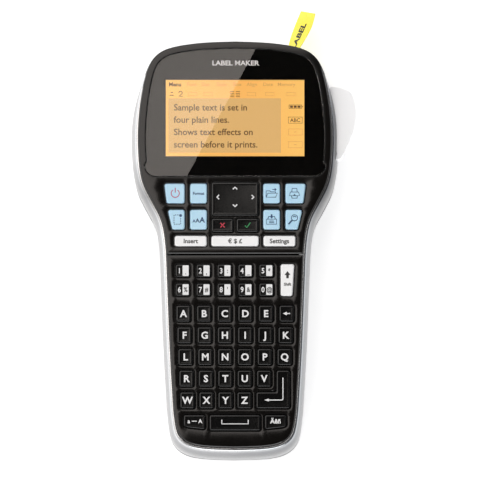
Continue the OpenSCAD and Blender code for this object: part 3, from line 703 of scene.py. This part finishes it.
# How far the band has flared at each height: share of the flare, step outwards, height
section = [(0.97, 0, split_z + 0.1 * mm), (1.0, 0, split_z + 0.6 * mm), (1.0, 0, 0.024),
           (0.985, 0, 0.029), (0.95, 0, 0.033), (0.88, 0, 0.0365), (0.78, 0, 0.0395),
           (0.64, 0, 0.0422), (0.5, 0, 0.0441), (0.38, 0, 0.0454), (0.29, 0, 0.04585),
           (0.2, 0, band_top), (0.03, lip_gap, band_top), (0, lip_gap, band_top - 0.4 * mm),
           (0, lip_gap, rim_z), (0, -shelf, rim_z), (0, -shelf, split_z + 0.1 * mm)]


def casing_ring(name):
    """The whole ring of the casing, closed on its inner side."""
    return loft(name, [[Vector((*(a.lerp(b, share) + out * step), z))
                        for a, b, out in zip(face_ring, flare_ring, face_out)]
                       for share, step, z in section], closed=True)


def sliced(piece, point, normal):
    """Cut a piece with a plane, drop what is on the side the normal points to, and close it."""
    edit(piece)
    bpy.ops.mesh.bisect(plane_co=point, plane_no=normal, use_fill=True, clear_outer=True)
    bpy.ops.object.mode_set(mode="OBJECT")


band = casing_ring("side_band_shell")
sliced(band, (0, band_end, 0), (0, 1, 0))
lever_low, lever_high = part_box("cutter_lever")
window_edge = 0.6 * mm
window_x = 0.038, 0.07
window_far = 0.0279
cut(band, block((window_x[0], lever_low.y - 1 * mm, lever_low.z - window_edge),
                (window_x[1], window_far, lever_high.z + window_edge)))
bevel(band, 0.25)
# The band's silver finish holds painted shade and painted dark reflections
hand_over(smooth(band), "silver_band", "side_band")
cap = casing_ring("end_cap_shell")
sliced(cap, (0, cap_start, 0), (0, -1, 0))
sliced(cap, (0, 0, cap_top - 0.05 * mm), (0, 0, 1))
slot_x = 24 * mm, 38 * mm
slot_z = 5.2 * mm, 20 * mm
nose_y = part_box("end_cap")[1].y
tape_exit = (slot_x[0], nose_y - 10 * mm, slot_z[0]), (slot_x[1], nose_y + 5 * mm, slot_z[1])
cut(cap, block(*tape_exit))
bevel(cap, 0.25)
hand_over(smooth(cap), "cap_gloss", "end_cap")
# %% [markdown]
# ## The rear housing
# The back is flat under the head, arches up under the grip and comes down again at the heel.
# Its height is found by looking up from below at the frame's housing. The shell is drawn
# from its upper rim down over a rounded edge to the back, then it is given its wall.
# %% Height of the back
housing_tree = BVHTree.FromObject(parts["rear_housing"], bpy.context.evaluated_depsgraph_get())
look_at_x = (0.0, 0.012, 0.0235, 0.0315, 0.0335)
well_below = -0.01


def back_height(y):
    """Lowest point of the housing at y."""
    low = min(max(y, tail_y + 0.3 * mm), nose_y - 0.3 * mm)
    found = [housing_tree.ray_cast(Vector((x, low, well_below)), Vector((0, 0, 1)))[0]
             for x in look_at_x]
    return min(hit.z for hit in found if hit)


tail_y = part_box("rear_housing")[0].y
sample_step = 2 * mm
sample_count = round((nose_y - tail_y) / sample_step)
heights = [back_height(tail_y + k * sample_step) for k in range(sample_count + 1)]


def back_z(y):
    """Height of the back at y, between the sampled heights."""
    place = min(max((y - tail_y) / sample_step, 0), sample_count - 1e-6)
    k = int(place)
    return heights[k] + (heights[k + 1] - heights[k]) * (place - k)


print("arch of the grip", round(max(heights[20:60]) / mm, 1), "mm high")
# %% Shell of the housing
edge_round = 4.5 * mm
round_steps = 6
flare_out = outward(flare_ring)
rings = [at_height(flare_ring, split_z)]
for step in range(round_steps + 1):
    turn = math.pi / 2 * step / round_steps
    inset = edge_round * (1 - math.cos(turn))
    ring = []
    for p, out in zip(flare_ring, flare_out):
        q = p - out * inset
        low = back_z(q.y)
        rise = min(edge_round, split_z - low - 0.3 * mm)
        ring.append(Vector((q.x, q.y, low + rise * (1 - math.sin(turn)))))
    rings.append(ring)
housing = loft("rear_housing_shell", rings, caps=(False, False))
edit(housing)
mesh = bmesh.from_edit_mesh(housing.data)
mesh.verts.ensure_lookup_table()
last = mesh.verts[-len(flare_ring):]
half = len(last) // 2
for k in range(half):
    across = last[-(k + 1)] if k + 1 < half else last[half]
    corners = list(dict.fromkeys((last[k], last[k + 1], across, last[-k])))
    if len(corners) > 2:
        mesh.faces.new(corners)
bmesh.update_edit_mesh(housing.data)
end_edit()
wall = 2.2 * mm
finish_modifier(housing, "SOLIDIFY", thickness=wall, offset=-1, use_rim=True)


def door_hole(node, depth):
    """Block as large as a door's opening."""
    low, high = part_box(node)
    pin = 2.95 * mm
    gap = 0.35 * mm
    return block((low.x + pin - gap, low.y - gap, well_below),
                 (high.x - pin + gap, high.y + gap, depth))


cassette_roof, battery_roof = 0.011, 0.0178
cut(housing, door_hole("cassette_door", cassette_roof))
cut(housing, door_hole("battery_door", battery_roof))
cut(housing, block(*tape_exit))
bevel(housing, 0.3)
hand_over(smooth(housing), "dark_plastic", "rear_housing")
# %% [markdown]
# ## The face and its keys
# The face is two glossy plates with a hole for every key. Each hole has a soft rounded rim,
# and each key a soft rounded edge, which is where the face catches its fine lines of light.
# The flange under each key gives its exact outline, which is rounded again at any width.
# %% Outlines with round corners
def widened(loop, grow):
    """The outline moved out by a distance, corners kept sharp; the inside is on its left."""
    out = []
    for a, b, c in turns_of(loop):
        one, two = (b - a).normalized(), (c - b).normalized()
        away = Vector((one.y + two.y, -one.x - two.x))
        if away.length < 1e-9:
            away = Vector((one.y, -one.x))
        away.normalize()
        out.append(b + away * (grow / max(0.3, away.dot(Vector((one.y, -one.x))))))
    return out


def cleaned(loop):
    """The outline without points that lie on a straight line."""
    out = []
    for a, b, c in turns_of(loop):
        if abs((b - a).normalized().cross((c - b).normalized())) > 0.01:
            out.append(b)
    return out


def rounded(loop, radius, steps=6):
    """The outline with an arc in every corner; inner corners turn the other way."""
    out = []
    for a, b, c in turns_of(loop):
        one, two = (b - a).normalized(), (c - b).normalized()
        turn = math.atan2(one.cross(two), one.dot(two))
        bend = abs(math.tan(turn / 2))
        reach = min(radius * bend, 0.45 * (b - a).length, 0.45 * (c - b).length)
        r = reach / max(1e-9, bend)
        side = 1 if turn > 0 else -1
        start = b - one * reach
        centre = start + Vector((-one.y, one.x)) * r * side
        out += [centre + Matrix.Rotation(turn * k / steps, 2) @ (start - centre)
                for k in range(steps + 1)]
    return out


key_flange = 0.5 * mm
key_nodes = [n for n in frame["record"]["behaviour"]["bodies"] if n.startswith("key")]
key_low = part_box("key_space")[0].z
key_plans = {}
for name in key_nodes:
    loops = sorted((cleaned(leftwise(loop)) for loop in rims(name, key_low)),
                   key=lambda loop: min(p.x for p in loop))
    key_plans[name] = [widened(loop, -key_flange) for loop in loops]
print("keys", sum(len(v) for v in key_plans.values()))
# %% Keys
key_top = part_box("key_space")[1].z
corner = 1.1 * mm
flange_top = 45.2 * mm
# Outline step and height from the flange up to the rim of the top, then the dished top
key_section = [(0.5, key_low), (0.5, flange_top), (0, flange_top), (0, key_top - 0.75 * mm),
               (-0.06, key_top - 0.42 * mm), (-0.2, key_top - 0.18 * mm),
               (-0.42, key_top - 0.05 * mm), (-0.7, key_top), (-0.95, key_top - 0.015 * mm),
               (-1.6, key_top - 0.05 * mm)]


def key_piece(name, finish):
    """Every key of one node, on its flange, with soft edges and a slightly dished top."""
    made = [loft(name + "_cap", [
        at_height(rounded(widened(plan, grow * mm), max(0.15 * mm, corner + grow * mm)), z)
        for grow, z in key_section]) for plan in key_plans[name]]
    return hand_over(smooth(join(name + "_cap", made), 40), finish, name)


for name in key_nodes:
    key_piece(name, parts[name]["slot_name"])
# %% Plates with holes
case_top = face_top
plate_low = case_top - 2.4 * mm
hole_section = [(0.35, plate_low), (0.35, case_top - 0.5 * mm), (0.6, case_top - 0.5 * mm),
                (0.6, case_top - 0.32 * mm), (0.66, case_top - 0.17 * mm),
                (0.8, case_top - 0.05 * mm), (1.0, case_top)]
rim_section = [(0, rim_z), (0, case_top - 1.0 * mm), (-0.08, case_top - 0.6 * mm),
               (-0.3, case_top - 0.28 * mm), (-0.6, case_top - 0.08 * mm), (-1.0, case_top)]


def part_ring(low, high):
    """Clockwise face outline between two heights across the face, cut straight."""
    right = [p for p in smooth_open(face_points, outline_steps) if low < p.y < high]
    ends = []
    for y in (high, low):
        if tail_y + 6 * mm < y < nose_y - 1 * mm:
            x = max(a.x + (b.x - a.x) * (y - a.y) / (b.y - a.y)
                    for a, b in zip(whole_right, whole_right[1:]) if b.y <= y <= a.y)
            ends.append(Vector((x, y)))
    if high < nose_y - 1 * mm:
        right = [ends[0]] + right
    if low > tail_y + 6 * mm:
        right = right + [ends[-1]]
    left = [Vector((-p.x, p.y)) for p in right[::-1] if abs(p.x) > 1e-6]
    return leftwise(right + left)


def fill_levels(piece):
    """Fill the space between open edges of equal height, and turn all faces outward."""
    edit(piece)
    mesh = bmesh.from_edit_mesh(piece.data)
    levels = sorted({round(v.co.z, 5) for line in mesh.edges if len(line.link_faces) == 1
                     for v in line.verts})
    for level in levels:
        for line in unselected(piece).edges:
            if len(line.link_faces) == 1 and all(abs(v.co.z - level) < 2e-5 for v in line.verts):
                line.select = True
        bmesh.update_edit_mesh(piece.data)
        bpy.ops.mesh.fill(use_beauty=True)
    end_edit(merge=True)
    return piece


def plate(name, edge, holes, node, finish, extra=()):
    """A plate: its edge and its holes are lofted walls, and the gaps between them are filled."""
    tops = [[(widened(edge, grow * mm), z) for grow, z in rim_section]]
    tops.append([(widened(edge, -rim_wide), z) for z in (rim_z, plate_low)])
    tops += [[(rounded(widened(hole, grow * mm), corner + grow * mm), z)
              for grow, z in hole_section] for hole in holes]
    tops += extra
    piece = fill_levels(join(name, [
        loft(name, [at_height(loop, z) for loop, z in rows], caps=(False, False))
        for rows in tops]))
    return hand_over(smooth(piece, 15), finish, node)


whole_right = smooth_open(face_points, outline_steps)
seam_gap = 0.2 * mm
head_keys = [plan for name in key_nodes for plan in key_plans[name]
             if min(p.y for p in plan) > seam]
pad_keys = [plan for name in key_nodes for plan in key_plans[name]
            if max(p.y for p in plan) < seam]


def filled_out(loop, longest):
    """The outline with extra points on its long straight stretches."""
    out = []
    for a, b in zip(loop, loop[1:] + loop[:1]):
        pieces = max(1, math.ceil((b - a).length / longest))
        out += [a.lerp(b, k / pieces) for k in range(pieces)]
    return out


lens_loop = max(rims("display_lens", case_top), key=lambda loop: abs(area(loop)))
lens_loop = smooth_closed(filled_out(leftwise(lens_loop), 5 * mm), 3)
lcd_low, lcd_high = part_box("lcd_panel")
window_in = 0.6 * mm
left, right = lcd_low.x + window_in, lcd_high.x - window_in
near, far = lcd_low.y + window_in, lcd_high.y - window_in
lcd_window = [Vector(p) for p in ((left, near), (right, near), (right, far), (left, far))]
lens_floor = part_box("display_lens")[0].z
lens_play = 0.12 * mm
lens_hole = [(widened(lens_loop, lens_play + grow * mm), z) for grow, z in (
    (0, lens_floor), (0, case_top - 0.3 * mm), (0.1, case_top - 0.1 * mm), (0.3, case_top))]
lcd_hole = [(lcd_window, plate_low), (lcd_window, lens_floor)]
head_edge = part_ring(seam + seam_gap, 1)
pad_edge = part_ring(-1, seam - seam_gap)
plate("head_face_plate", head_edge, head_keys, "head_face", "black_gloss", [lens_hole, lcd_hole])
plate("keypad_face_plate", pad_edge, pad_keys, "keypad_face", "black_gloss")
# %% [markdown]
# ## Lens and display
# A clear sheet covers the whole head. A black mask printed under it leaves a window for the
# display. The sheet is modelled as real clear acrylic over a thin black mask, so that lamps
# show on it as they do on the real one.
# %% Lens
mask_thick = 0.12 * mm
lens_section = [(0, lens_floor + mask_thick + 0.02 * mm), (0, case_top - 0.25 * mm),
                (-0.08, case_top - 0.08 * mm), (-0.25, case_top)]
lens = loft("lens_sheet", [at_height(widened(lens_loop, grow * mm), z)
                           for grow, z in lens_section])
hand_over(smooth(lens, 15), "lens", "display_lens")
mask_edges = widened(lens_loop, -0.05 * mm), rounded(widened(lcd_window, 0.3 * mm), 0.4 * mm)
mask = fill_levels(join("lens_mask", [
    loft("lens_mask", [at_height(loop, z) for z in (lens_floor, lens_floor + mask_thick)],
         caps=(False, False)) for loop in mask_edges]))
hand_over(mask, "lens_mask", None, "casing", "black_gloss")
# %% [markdown]
# ## Doors, lever and tape
# The two doors in the back and the finger lever keep the shape of the frame's parts. On the
# real ones every edge is a little round, so a joined copy of each part gets a bevel. The
# tape is drawn as a ribbon that turns face up as it leaves the slot.
# %% Copies with soft edges
def softened(name, piece_name, width, finish, segments=3, angle=35):
    """A joined copy of a part with bevelled edges, which stands for the part."""
    copy = bpy.data.objects.new(piece_name, parts[name].data.copy())
    bpy.context.scene.collection.objects.link(copy)
    edit(copy)
    bpy.ops.mesh.remove_doubles(threshold=1e-6)
    bpy.ops.mesh.dissolve_limited(angle_limit=math.radians(0.5))
    bpy.ops.object.mode_set(mode="OBJECT")
    bevel(copy, width, segments, angle)
    return hand_over(smooth(copy, 18), finish, name)


softened("cassette_door", "cassette_door_panel", 0.25, "dark_plastic", 2, 50)
softened("battery_door", "battery_door_panel", 0.25, "dark_plastic", 2, 50)
softened("cutter_lever", "cutter_lever_fin", 0.6, "lever_plastic", 3, 50)
softened("cassette_case", "cassette_shell", 0.3, "cassette_plastic", 2, 50)
softened("battery_pack", "battery_pack_sleeve", 1.2, "battery", 3, 50)
# %% Label tape
tape_wide = 12 * mm
tape_thin = 0.3 * mm
tape_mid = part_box("label_tape")[0].z + tape_wide / 2
# Points along the tape: place across, place along, how far it has turned, how far it has risen
tape_way = [(25.65, 16, 0, 0), (25.65, 24, 0, 0), (25.65, 30, 0, 0), (26.6, 39, 0, 0),
            (28.9, 46.5, -14, 0.1), (30.9, 51, -30, 0.8), (33.1, 56, -40, 2.2),
            (36.1, 62.5, -46, 4.1), (38.4, 69.0, -40, 5.6)]
tape_line = smooth_open([Vector((x * mm, y * mm, rise * mm)) for x, y, turn, rise in tape_way], 5)
tape_turn = [v.x for v in smooth_open([Vector((turn, 0)) for x, y, turn, rise in tape_way], 5)]


def tape_frame(k):
    """Middle, direction across and face direction of the tape at step k."""
    ahead = tape_line[min(k + 1, len(tape_line) - 1)] - tape_line[max(k - 1, 0)]
    go = Vector((ahead.x, ahead.y, 0)).normalized()
    side = Vector((go.y, -go.x, 0))
    turn = math.radians(tape_turn[k])
    up = Vector((0, 0, 1))
    middle = Vector((tape_line[k].x, tape_line[k].y, tape_mid + tape_line[k].z))
    along = up * math.cos(turn) - side * math.sin(turn)
    return middle, along, side * math.cos(turn) + up * math.sin(turn)


rings = []
tape_steps = (-1, -0.5, 0, 0.5, 1)
for k in range(len(tape_line)):
    middle, along, facing = tape_frame(k)
    row = [(a, -1) for a in tape_steps] + [(a, 1) for a in tape_steps[::-1]]
    rings.append([middle + along * (a * tape_wide / 2) + facing * (b * tape_thin / 2)
                  for a, b in row])
tape = loft("label_tape_strip", rings)
hand_over(smooth(tape, 40), "label_tape", "label_tape")
# %% [markdown]
# ## Lettering and signs
# The signs are thin raised ink. Letters are text turned into a mesh. Line signs are bent
# wires, flattened until they lie on the key like a drop of paint. Each key's ink is one
# piece that moves with its key.
# %% Ink
ink_lift = 0.02 * mm


def inked(place, scale):
    """The active text or curve as a mesh, lying just above a place."""
    bpy.ops.object.convert(target="MESH")
    piece = bpy.context.active_object
    piece.scale = scale
    piece.location = Vector(place) + Vector((0, 0, ink_lift))
    bpy.ops.object.transform_apply(location=True, rotation=True, scale=True)
    return piece


def letters(text, x, y, z, size, bold=0.0, align="CENTER", squeeze=1.0):
    """Flat raised text with its middle height at y."""
    deselect()
    bpy.ops.object.text_add()
    piece = bpy.context.active_object
    piece.data.body = text
    piece.data.align_x = align
    piece.data.size = 1
    piece.data.resolution_u = 3
    piece.data.offset = bold
    piece.data.extrude = 0.006
    return inked((x, y - 0.35 * size, z), (size * squeeze, size, size))


def wires(strokes, x, y, z, width):
    """Flattened wires along lists of points in millimetres round (x, y)."""
    deselect()
    bpy.ops.curve.primitive_bezier_curve_add(location=(0, 0, 0))
    piece = bpy.context.active_object
    piece.data.splines.clear()
    piece.data.bevel_depth = width * mm / 2
    piece.data.bevel_resolution = 1
    piece.data.use_fill_caps = True
    for points in strokes:
        closed = points[0] == points[-1] and len(points) > 2
        points = points[:-1] if closed else points
        line = piece.data.splines.new("POLY")
        line.points.add(len(points) - 1)
        line.use_cyclic_u = closed
        for place, (px, py) in zip(line.points, points):
            place.co = (px * mm, py * mm, 0, 1)
    return inked((x, y, z), (1, 1, 0.15))


def solid(points, x, y, z, thick=0.04):
    """A flat filled shape from points in millimetres round (x, y)."""
    low = [Vector((x + px * mm, y + py * mm, z)) for px, py in points]
    return loft("shape", [low, [p + Vector((0, 0, thick * mm)) for p in low]])


def arc(radius, start, end, steps=14, x=0.0, y=0.0):
    """Points in millimetres along an arc, angles in degrees."""
    turns = [math.radians(start + (end - start) * k / steps) for k in range(steps + 1)]
    return [(x + radius * math.cos(t), y + radius * math.sin(t)) for t in turns]


def ink(name, pieces, finish, body):
    """Join pieces of ink, and let them move with a body."""
    return hand_over(join(name, pieces), finish, None, body, "white_keys")


def middle(name, number=0):
    """Middle of a key in the frame."""
    plan = key_plans[name][number]
    return ((min(p.x for p in plan) + max(p.x for p in plan)) / 2,
            (min(p.y for p in plan) + max(p.y for p in plan)) / 2)


key_face = key_top - 0.03 * mm
print("ink helpers ready")
# %% Print on the tape
def on_tape(piece, start):
    """Lay flat text on the curling tape: its length runs along it, its height across it."""
    spans = [(b - a).length for a, b in zip(tape_line, tape_line[1:])]
    for vertex in piece.data.vertices:
        rest, k = vertex.co.x, start
        while k < len(spans) - 1 and rest > spans[k]:
            rest -= spans[k]
            k += 1
        centre, along, facing = tape_frame(k)
        ahead = (tape_line[k + 1] - tape_line[k]).normalized()
        vertex.co = (centre + ahead * rest - along * vertex.co.y
                     - facing * (tape_thin / 2 + vertex.co.z))
    return piece


tape_word = letters("LABEL", 0, 0, 0, 4.8 * mm, 0.035, "LEFT", 1.15)
hand_over(on_tape(tape_word, len(tape_line) - 17), "black_print", None,
          parts["label_tape"]["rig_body"], "label_tape")
# %% Letter keys
letter_rows = {"keys_a_e": "ABCDE", "keys_f_k": "FGHIJK", "keys_l_q": "LMNOPQ",
               "keys_r_v": "RSTUV", "keys_w_z": "WXYZ"}
for name, row in letter_rows.items():
    made = []
    for number, letter in enumerate(row):
        x, y = middle(name, number)
        made.append(letters(letter, x, y, key_face, 5.0 * mm, 0.028))
    if name == "keys_a_e":
        x, y = middle(name, 5)
        made.append(wires([[(-0.4, 0), (1.9, 0)]], x, y, key_face, 0.55))
        made.append(solid([(-1.9, 0), (0.1, -0.95), (0.1, 0.95)], x, y, key_face))
    ink(name + "_ink", made, "white_print", name)
# %% Digit keys
digit_rows = {"keys_one_five": ("12345", ".,:_*"), "keys_six_zero": ("67890", "%#'&@")}
patch_points = rounded([Vector(p) for p in ((-0.1, -2.75), (3.05, -2.75), (3.05, 2.75),
                                            (-0.1, 2.75))], 0.35, 3)
for name, (digits, signs) in digit_rows.items():
    numerals, patches, marks = [], [], []
    for number, (digit, sign) in enumerate(zip(digits, signs)):
        x, y = middle(name, number)
        numerals.append(letters(digit, x - 1.75 * mm, y, key_face, 3.9 * mm, 0.02, squeeze=0.85))
        patches.append(solid([(p.x, p.y) for p in patch_points], x, y, key_face))
        drop = -0.7 if sign in ".,_" else 0.0
        marks.append(letters(sign, x + 1.5 * mm, y + drop * mm, key_face + 0.04 * mm, 3.4 * mm,
                             0.02, squeeze=0.85))
    ink(name + "_numerals", numerals, "white_print", name)
    ink(name + "_patches", patches, "white_print", name)
    ink(name + "_signs", marks, "black_print", name)
# %% Signs that need sums
x, y = middle("key_enter")
plan = key_plans["key_enter"][0]
enter_x = max(p.x for p in plan) / mm - x / mm - 3.6
enter_y = min(p.y for p in plan) / mm - y / mm + 4.3
chevron = [(-1.1, -0.55), (0, 0.55), (1.1, -0.55)]
chevrons = []
for turn, dx, dy in ((0, 0, 5.6), (180, 0, -3.4), (90, -8.8, 1.0), (-90, 9.2, 1.0)):
    spin = Matrix.Rotation(math.radians(turn), 2)
    chevrons.append([tuple(spin @ Vector(p) + Vector((dx, dy))) for p in chevron])
dashes = []
for a, b in (((-1.7, -2.4), (1.7, -2.4)), ((1.7, -2.4), (1.7, 1.2)), ((-1.7, 2.4), (-1.7, -2.4)),
             ((0.6, 2.4), (-1.7, 2.4))):
    start, end = Vector(a), Vector(b)
    pieces = max(2, round((end - start).length / 1.1))
    dashes += [[tuple(start.lerp(end, k / pieces)), tuple(start.lerp(end, (k + 0.62) / pieces))]
               for k in range(pieces)]
spark = [(1.7 + 0.75 * math.cos(t * math.pi / 4), 2.1 + 0.75 * math.sin(t * math.pi / 4))
         for t in range(8)]
# %% Other keys
# Each shape: its maker, what it draws, how far from the key's middle in millimetres, and
# then the size and weight of letters or the width of wires
key_signs = {
    "key_enter": ("white_print", (wires, [
        [(enter_x, enter_y + 11.6), (enter_x, enter_y + 0.5), (enter_x - 0.5, enter_y),
         (enter_x - 7.8, enter_y)]], 0, 0, 0.55), (solid, [
             (enter_x - 9.6, enter_y), (enter_x - 7.3, enter_y - 0.75),
             (enter_x - 7.3, enter_y + 0.75)], 0, 0)),
    "key_space": ("white_print", (wires, [
        [(-6.8, 1.5), (-6.8, -0.6), (6.8, -0.6), (6.8, 1.5)]], 0, 0, 0.6)),
    "key_caps": ("white_print", (letters, "a", -2.9, 0.5, 2.9 * mm, 0.03),
                 (letters, "A", 3.0, 0.5, 2.9 * mm, 0.03),
                 (wires, [[(-1.4, 0.5), (1.2, 0.5)]], 0, 0, 0.45)),
    "key_accent": ("white_print", (letters, "Äêñ", 0, 0.5, 3.3 * mm, 0.03)),
    "key_shift": ("black_print", (solid, [
        (1.5, 2.6), (0.65, 2.6), (0.65, 0.9), (-0.65, 0.9), (-0.65, 2.6), (-1.5, 2.6),
        (0, 4.6)], 0, 0), (letters, "Shift", 0, -2.2, 2.1 * mm, 0.03)),
    "key_insert": ("black_print", (letters, "Insert", 0, 0, 3.2 * mm, 0.022)),
    "key_currency": ("black_print", (letters, "€ $ £", 0, 0, 3.2 * mm, 0.022)),
    "key_settings": ("black_print", (letters, "Settings", 0, 0, 3.2 * mm, 0.022)),
    "key_nav_pad": ("white_print", (wires, chevrons, 0, 0, 0.7)),
    "key_cancel": ("red_print", (wires, [
        [(-1.1, -1.2), (1.1, 1.2)], [(-1.1, 1.2), (1.1, -1.2)]], 0, 0, 0.6)),
    "key_ok": ("green_print", (wires, [[(-1.3, -0.2), (-0.4, -1.2), (1.5, 1.3)]], 0, 0, 0.6)),
    "key_power": ("pink_print", (wires, [arc(2.1, 125, 415), [(0, 0.4), (0, 2.9)]],
                                 0.4, 0, 0.5)),
    "key_format": ("navy_print", (letters, "Format", 0, 0, 2.0 * mm, 0.03)),
    "key_new_label": ("navy_print", (wires, dashes, 0.6, 0, 0.36), (solid, spark, 0.6, 0)),
    "key_text_size": ("navy_print", (letters, "A", -2.3, -0.7, 2.1 * mm, 0.03),
                      (letters, "A", -0.5, -0.45, 2.8 * mm, 0.03),
                      (letters, "A", 1.9, -0.1, 3.8 * mm, 0.03)),
    "key_open": ("navy_print", (wires, [
        [(-2.8, -2.0), (-2.8, 1.3), (-0.9, 1.3), (-0.3, 0.8), (2.0, 0.8), (2.0, 0.1)],
        [(-2.8, -2.0), (-1.9, 0.1), (3.0, 0.1), (2.1, -2.0), (-2.8, -2.0)],
        [(0.4, 2.0), (2.2, 2.0)], [(1.6, 2.6), (2.4, 2.0), (1.6, 1.4)]], 0, 0, 0.38)),
    "key_print": ("navy_print", (wires, [
        [(-2.6, -1.2), (-2.1, 0.7), (2.1, 0.7), (2.6, -1.2), (-2.6, -1.2)],
        [(-1.4, 0.7), (-1.2, 2.6), (1.2, 2.6), (1.4, 0.7)],
        [(-1.5, -1.2), (-1.3, -2.5), (1.3, -2.5), (1.5, -1.2)]], -0.6, 0, 0.38),
                  (solid, [(0, -0.3), (-0.75, -1.1), (0.75, -1.1)], -0.6, 0)),
    "key_save": ("navy_print", (wires, [
        [(-2.6, -2.4), (-2.6, 0.2), (2.6, 0.2), (2.6, -2.4), (-2.6, -2.4)],
        [(-2.0, 0.2), (-1.5, 1.6), (1.5, 1.6), (2.0, 0.2)],
        [(-1.3, -1.6), (1.3, -1.6)], [(-1.3, -0.8), (1.3, -0.8)]], 0, 0, 0.38),
                 (solid, [(0, 0.5), (1.0, 1.7), (0.4, 1.7), (0.4, 2.7), (-0.4, 2.7),
                          (-0.4, 1.7), (-1.0, 1.7)], 0, 0)),
    "key_preview": ("navy_print", (wires, [
        arc(1.6, 0, 360, 20, 0.7, 0.9), arc(0.8, 20, 160, 8, 0.7, 0.9)], -0.4, 0, 0.38),
                    (wires, [[(-0.6, -0.4), (-2.4, -2.4)]], -0.4, 0, 0.75))}
for key, (finish, *shapes) in key_signs.items():
    x, y = middle(key)
    ink(key + "_ink", [make(what, x + dx * mm, y + dy * mm, key_face, *values)
                       for make, what, dx, dy, *values in shapes], finish, key)
# %% [markdown]
# ## What the display shows
# The panel glows amber, with a darker field for four lines of text. The words are plain
# sample words. Thin marks above and beside the field stand for its menu.
# %% Display contents
screen = lcd_high.z
field_points = [(-34.6, -8.0), (23.8, -8.0), (23.8, 20.4), (-34.6, 20.4)]
field = solid(field_points, 0, 0, screen + 0.01 * mm, 0.02)
hand_over(field, "lcd_field", None, "casing", "lcd")
words = ["Sample text is set in", "four plain lines.", "Shows text effects on",
         "screen before it prints."]
line_y = [15.7, 9.3, 2.9, -3.6]
lines = [letters(word, -31.8 * mm, y * mm, screen + 0.04 * mm, 4.7 * mm, 0.012, "LEFT", 1.0)
         for word, y in zip(words, line_y)]


def box_wire(wide, high, y=0.0):
    """The corners of an oblong round (0, y), as one closed stroke."""
    return [(-wide, y - high), (wide, y - high), (wide, y + high), (-wide, y + high),
            (-wide, y - high)]


menu_y, menu_z = 27.7 * mm, screen + 0.02 * mm
side_x, box_y = 31.2 * mm, 9.0 * mm
battery_x, battery_y = 31.4 * mm, 16.0 * mm
bars = [[(-2.4 + 3.0 * side, 23.9 - 0.9 * k), (-0.2 + 3.0 * side, 23.9 - 0.9 * k)]
        for side in (0, 1) for k in range(4)]
battery = [(-3.4, -0.9), (3.0, -0.9), (3.0, 0.9), (-3.4, 0.9), (-3.4, -0.9)]
menu = [letters("Menu", -34.4 * mm, menu_y, menu_z, 2.9 * mm, 0.03, "LEFT"),
        wires([arc(0.9, 180, -60, 8, -28.3, 23.2), [(-27.9, 22.4), (-29.2, 21.4), (-27.2, 21.4)],
               [(-34.0, 22.0), (-31.8, 22.0)], [(-33.4, 23.4), (-32.2, 23.4)]], 0, 0, screen, 0.4),
        wires(bars, -0.2 * mm, 0, screen, 0.3),
        wires([battery, [(3.5, -0.3), (3.5, 0.3)]], battery_x, battery_y, screen, 0.35)]
menu += [solid([(a, -0.55), (a + 1.5, -0.55), (a + 1.5, 0.55), (a, 0.55)],
               battery_x, battery_y, menu_z) for a in (-2.9, -0.95, 1.0)]
menu += [wires([box_wire(3.6, 1.6)], side_x, box_y, screen, 0.3),
         letters("ABC", side_x, box_y, menu_z, 2.7 * mm, 0.015)]
hand_over(join("lcd_words", lines + menu), "lcd_ink", None, "casing", "lcd")
menu_words = {"Font": -25, "Size": -17.4, "Style": -9.6, "Box": -1, "Align": 6, "Date": 14.4,
              "Memory": 22}
faint = [letters(word, x * mm, menu_y, menu_z, 2.7 * mm, 0.015, "LEFT")
         for word, x in menu_words.items()]
faint += [wires([box_wire(3.6, 1.6, y), [(-0.7, y), (0.7, y)]], side_x, 0, screen, 0.3)
          for y in (2.8, -3.8)]
faint += [wires([box_wire(2.2, 0.9)], x * mm, 22.6 * mm, screen, 0.3)
          for x in (-22, -14, 8.5, 18, 29)]
hand_over(join("lcd_faint", faint), "lcd_faint", None, "casing", "lcd")
# %% Word on the head
title = letters("LABEL MAKER", 0.2 * mm, 38.6 * mm, case_top, 3.5 * mm, 0.03, squeeze=1.12)
hand_over(title, "silver_print", None, "casing", "silver_band")
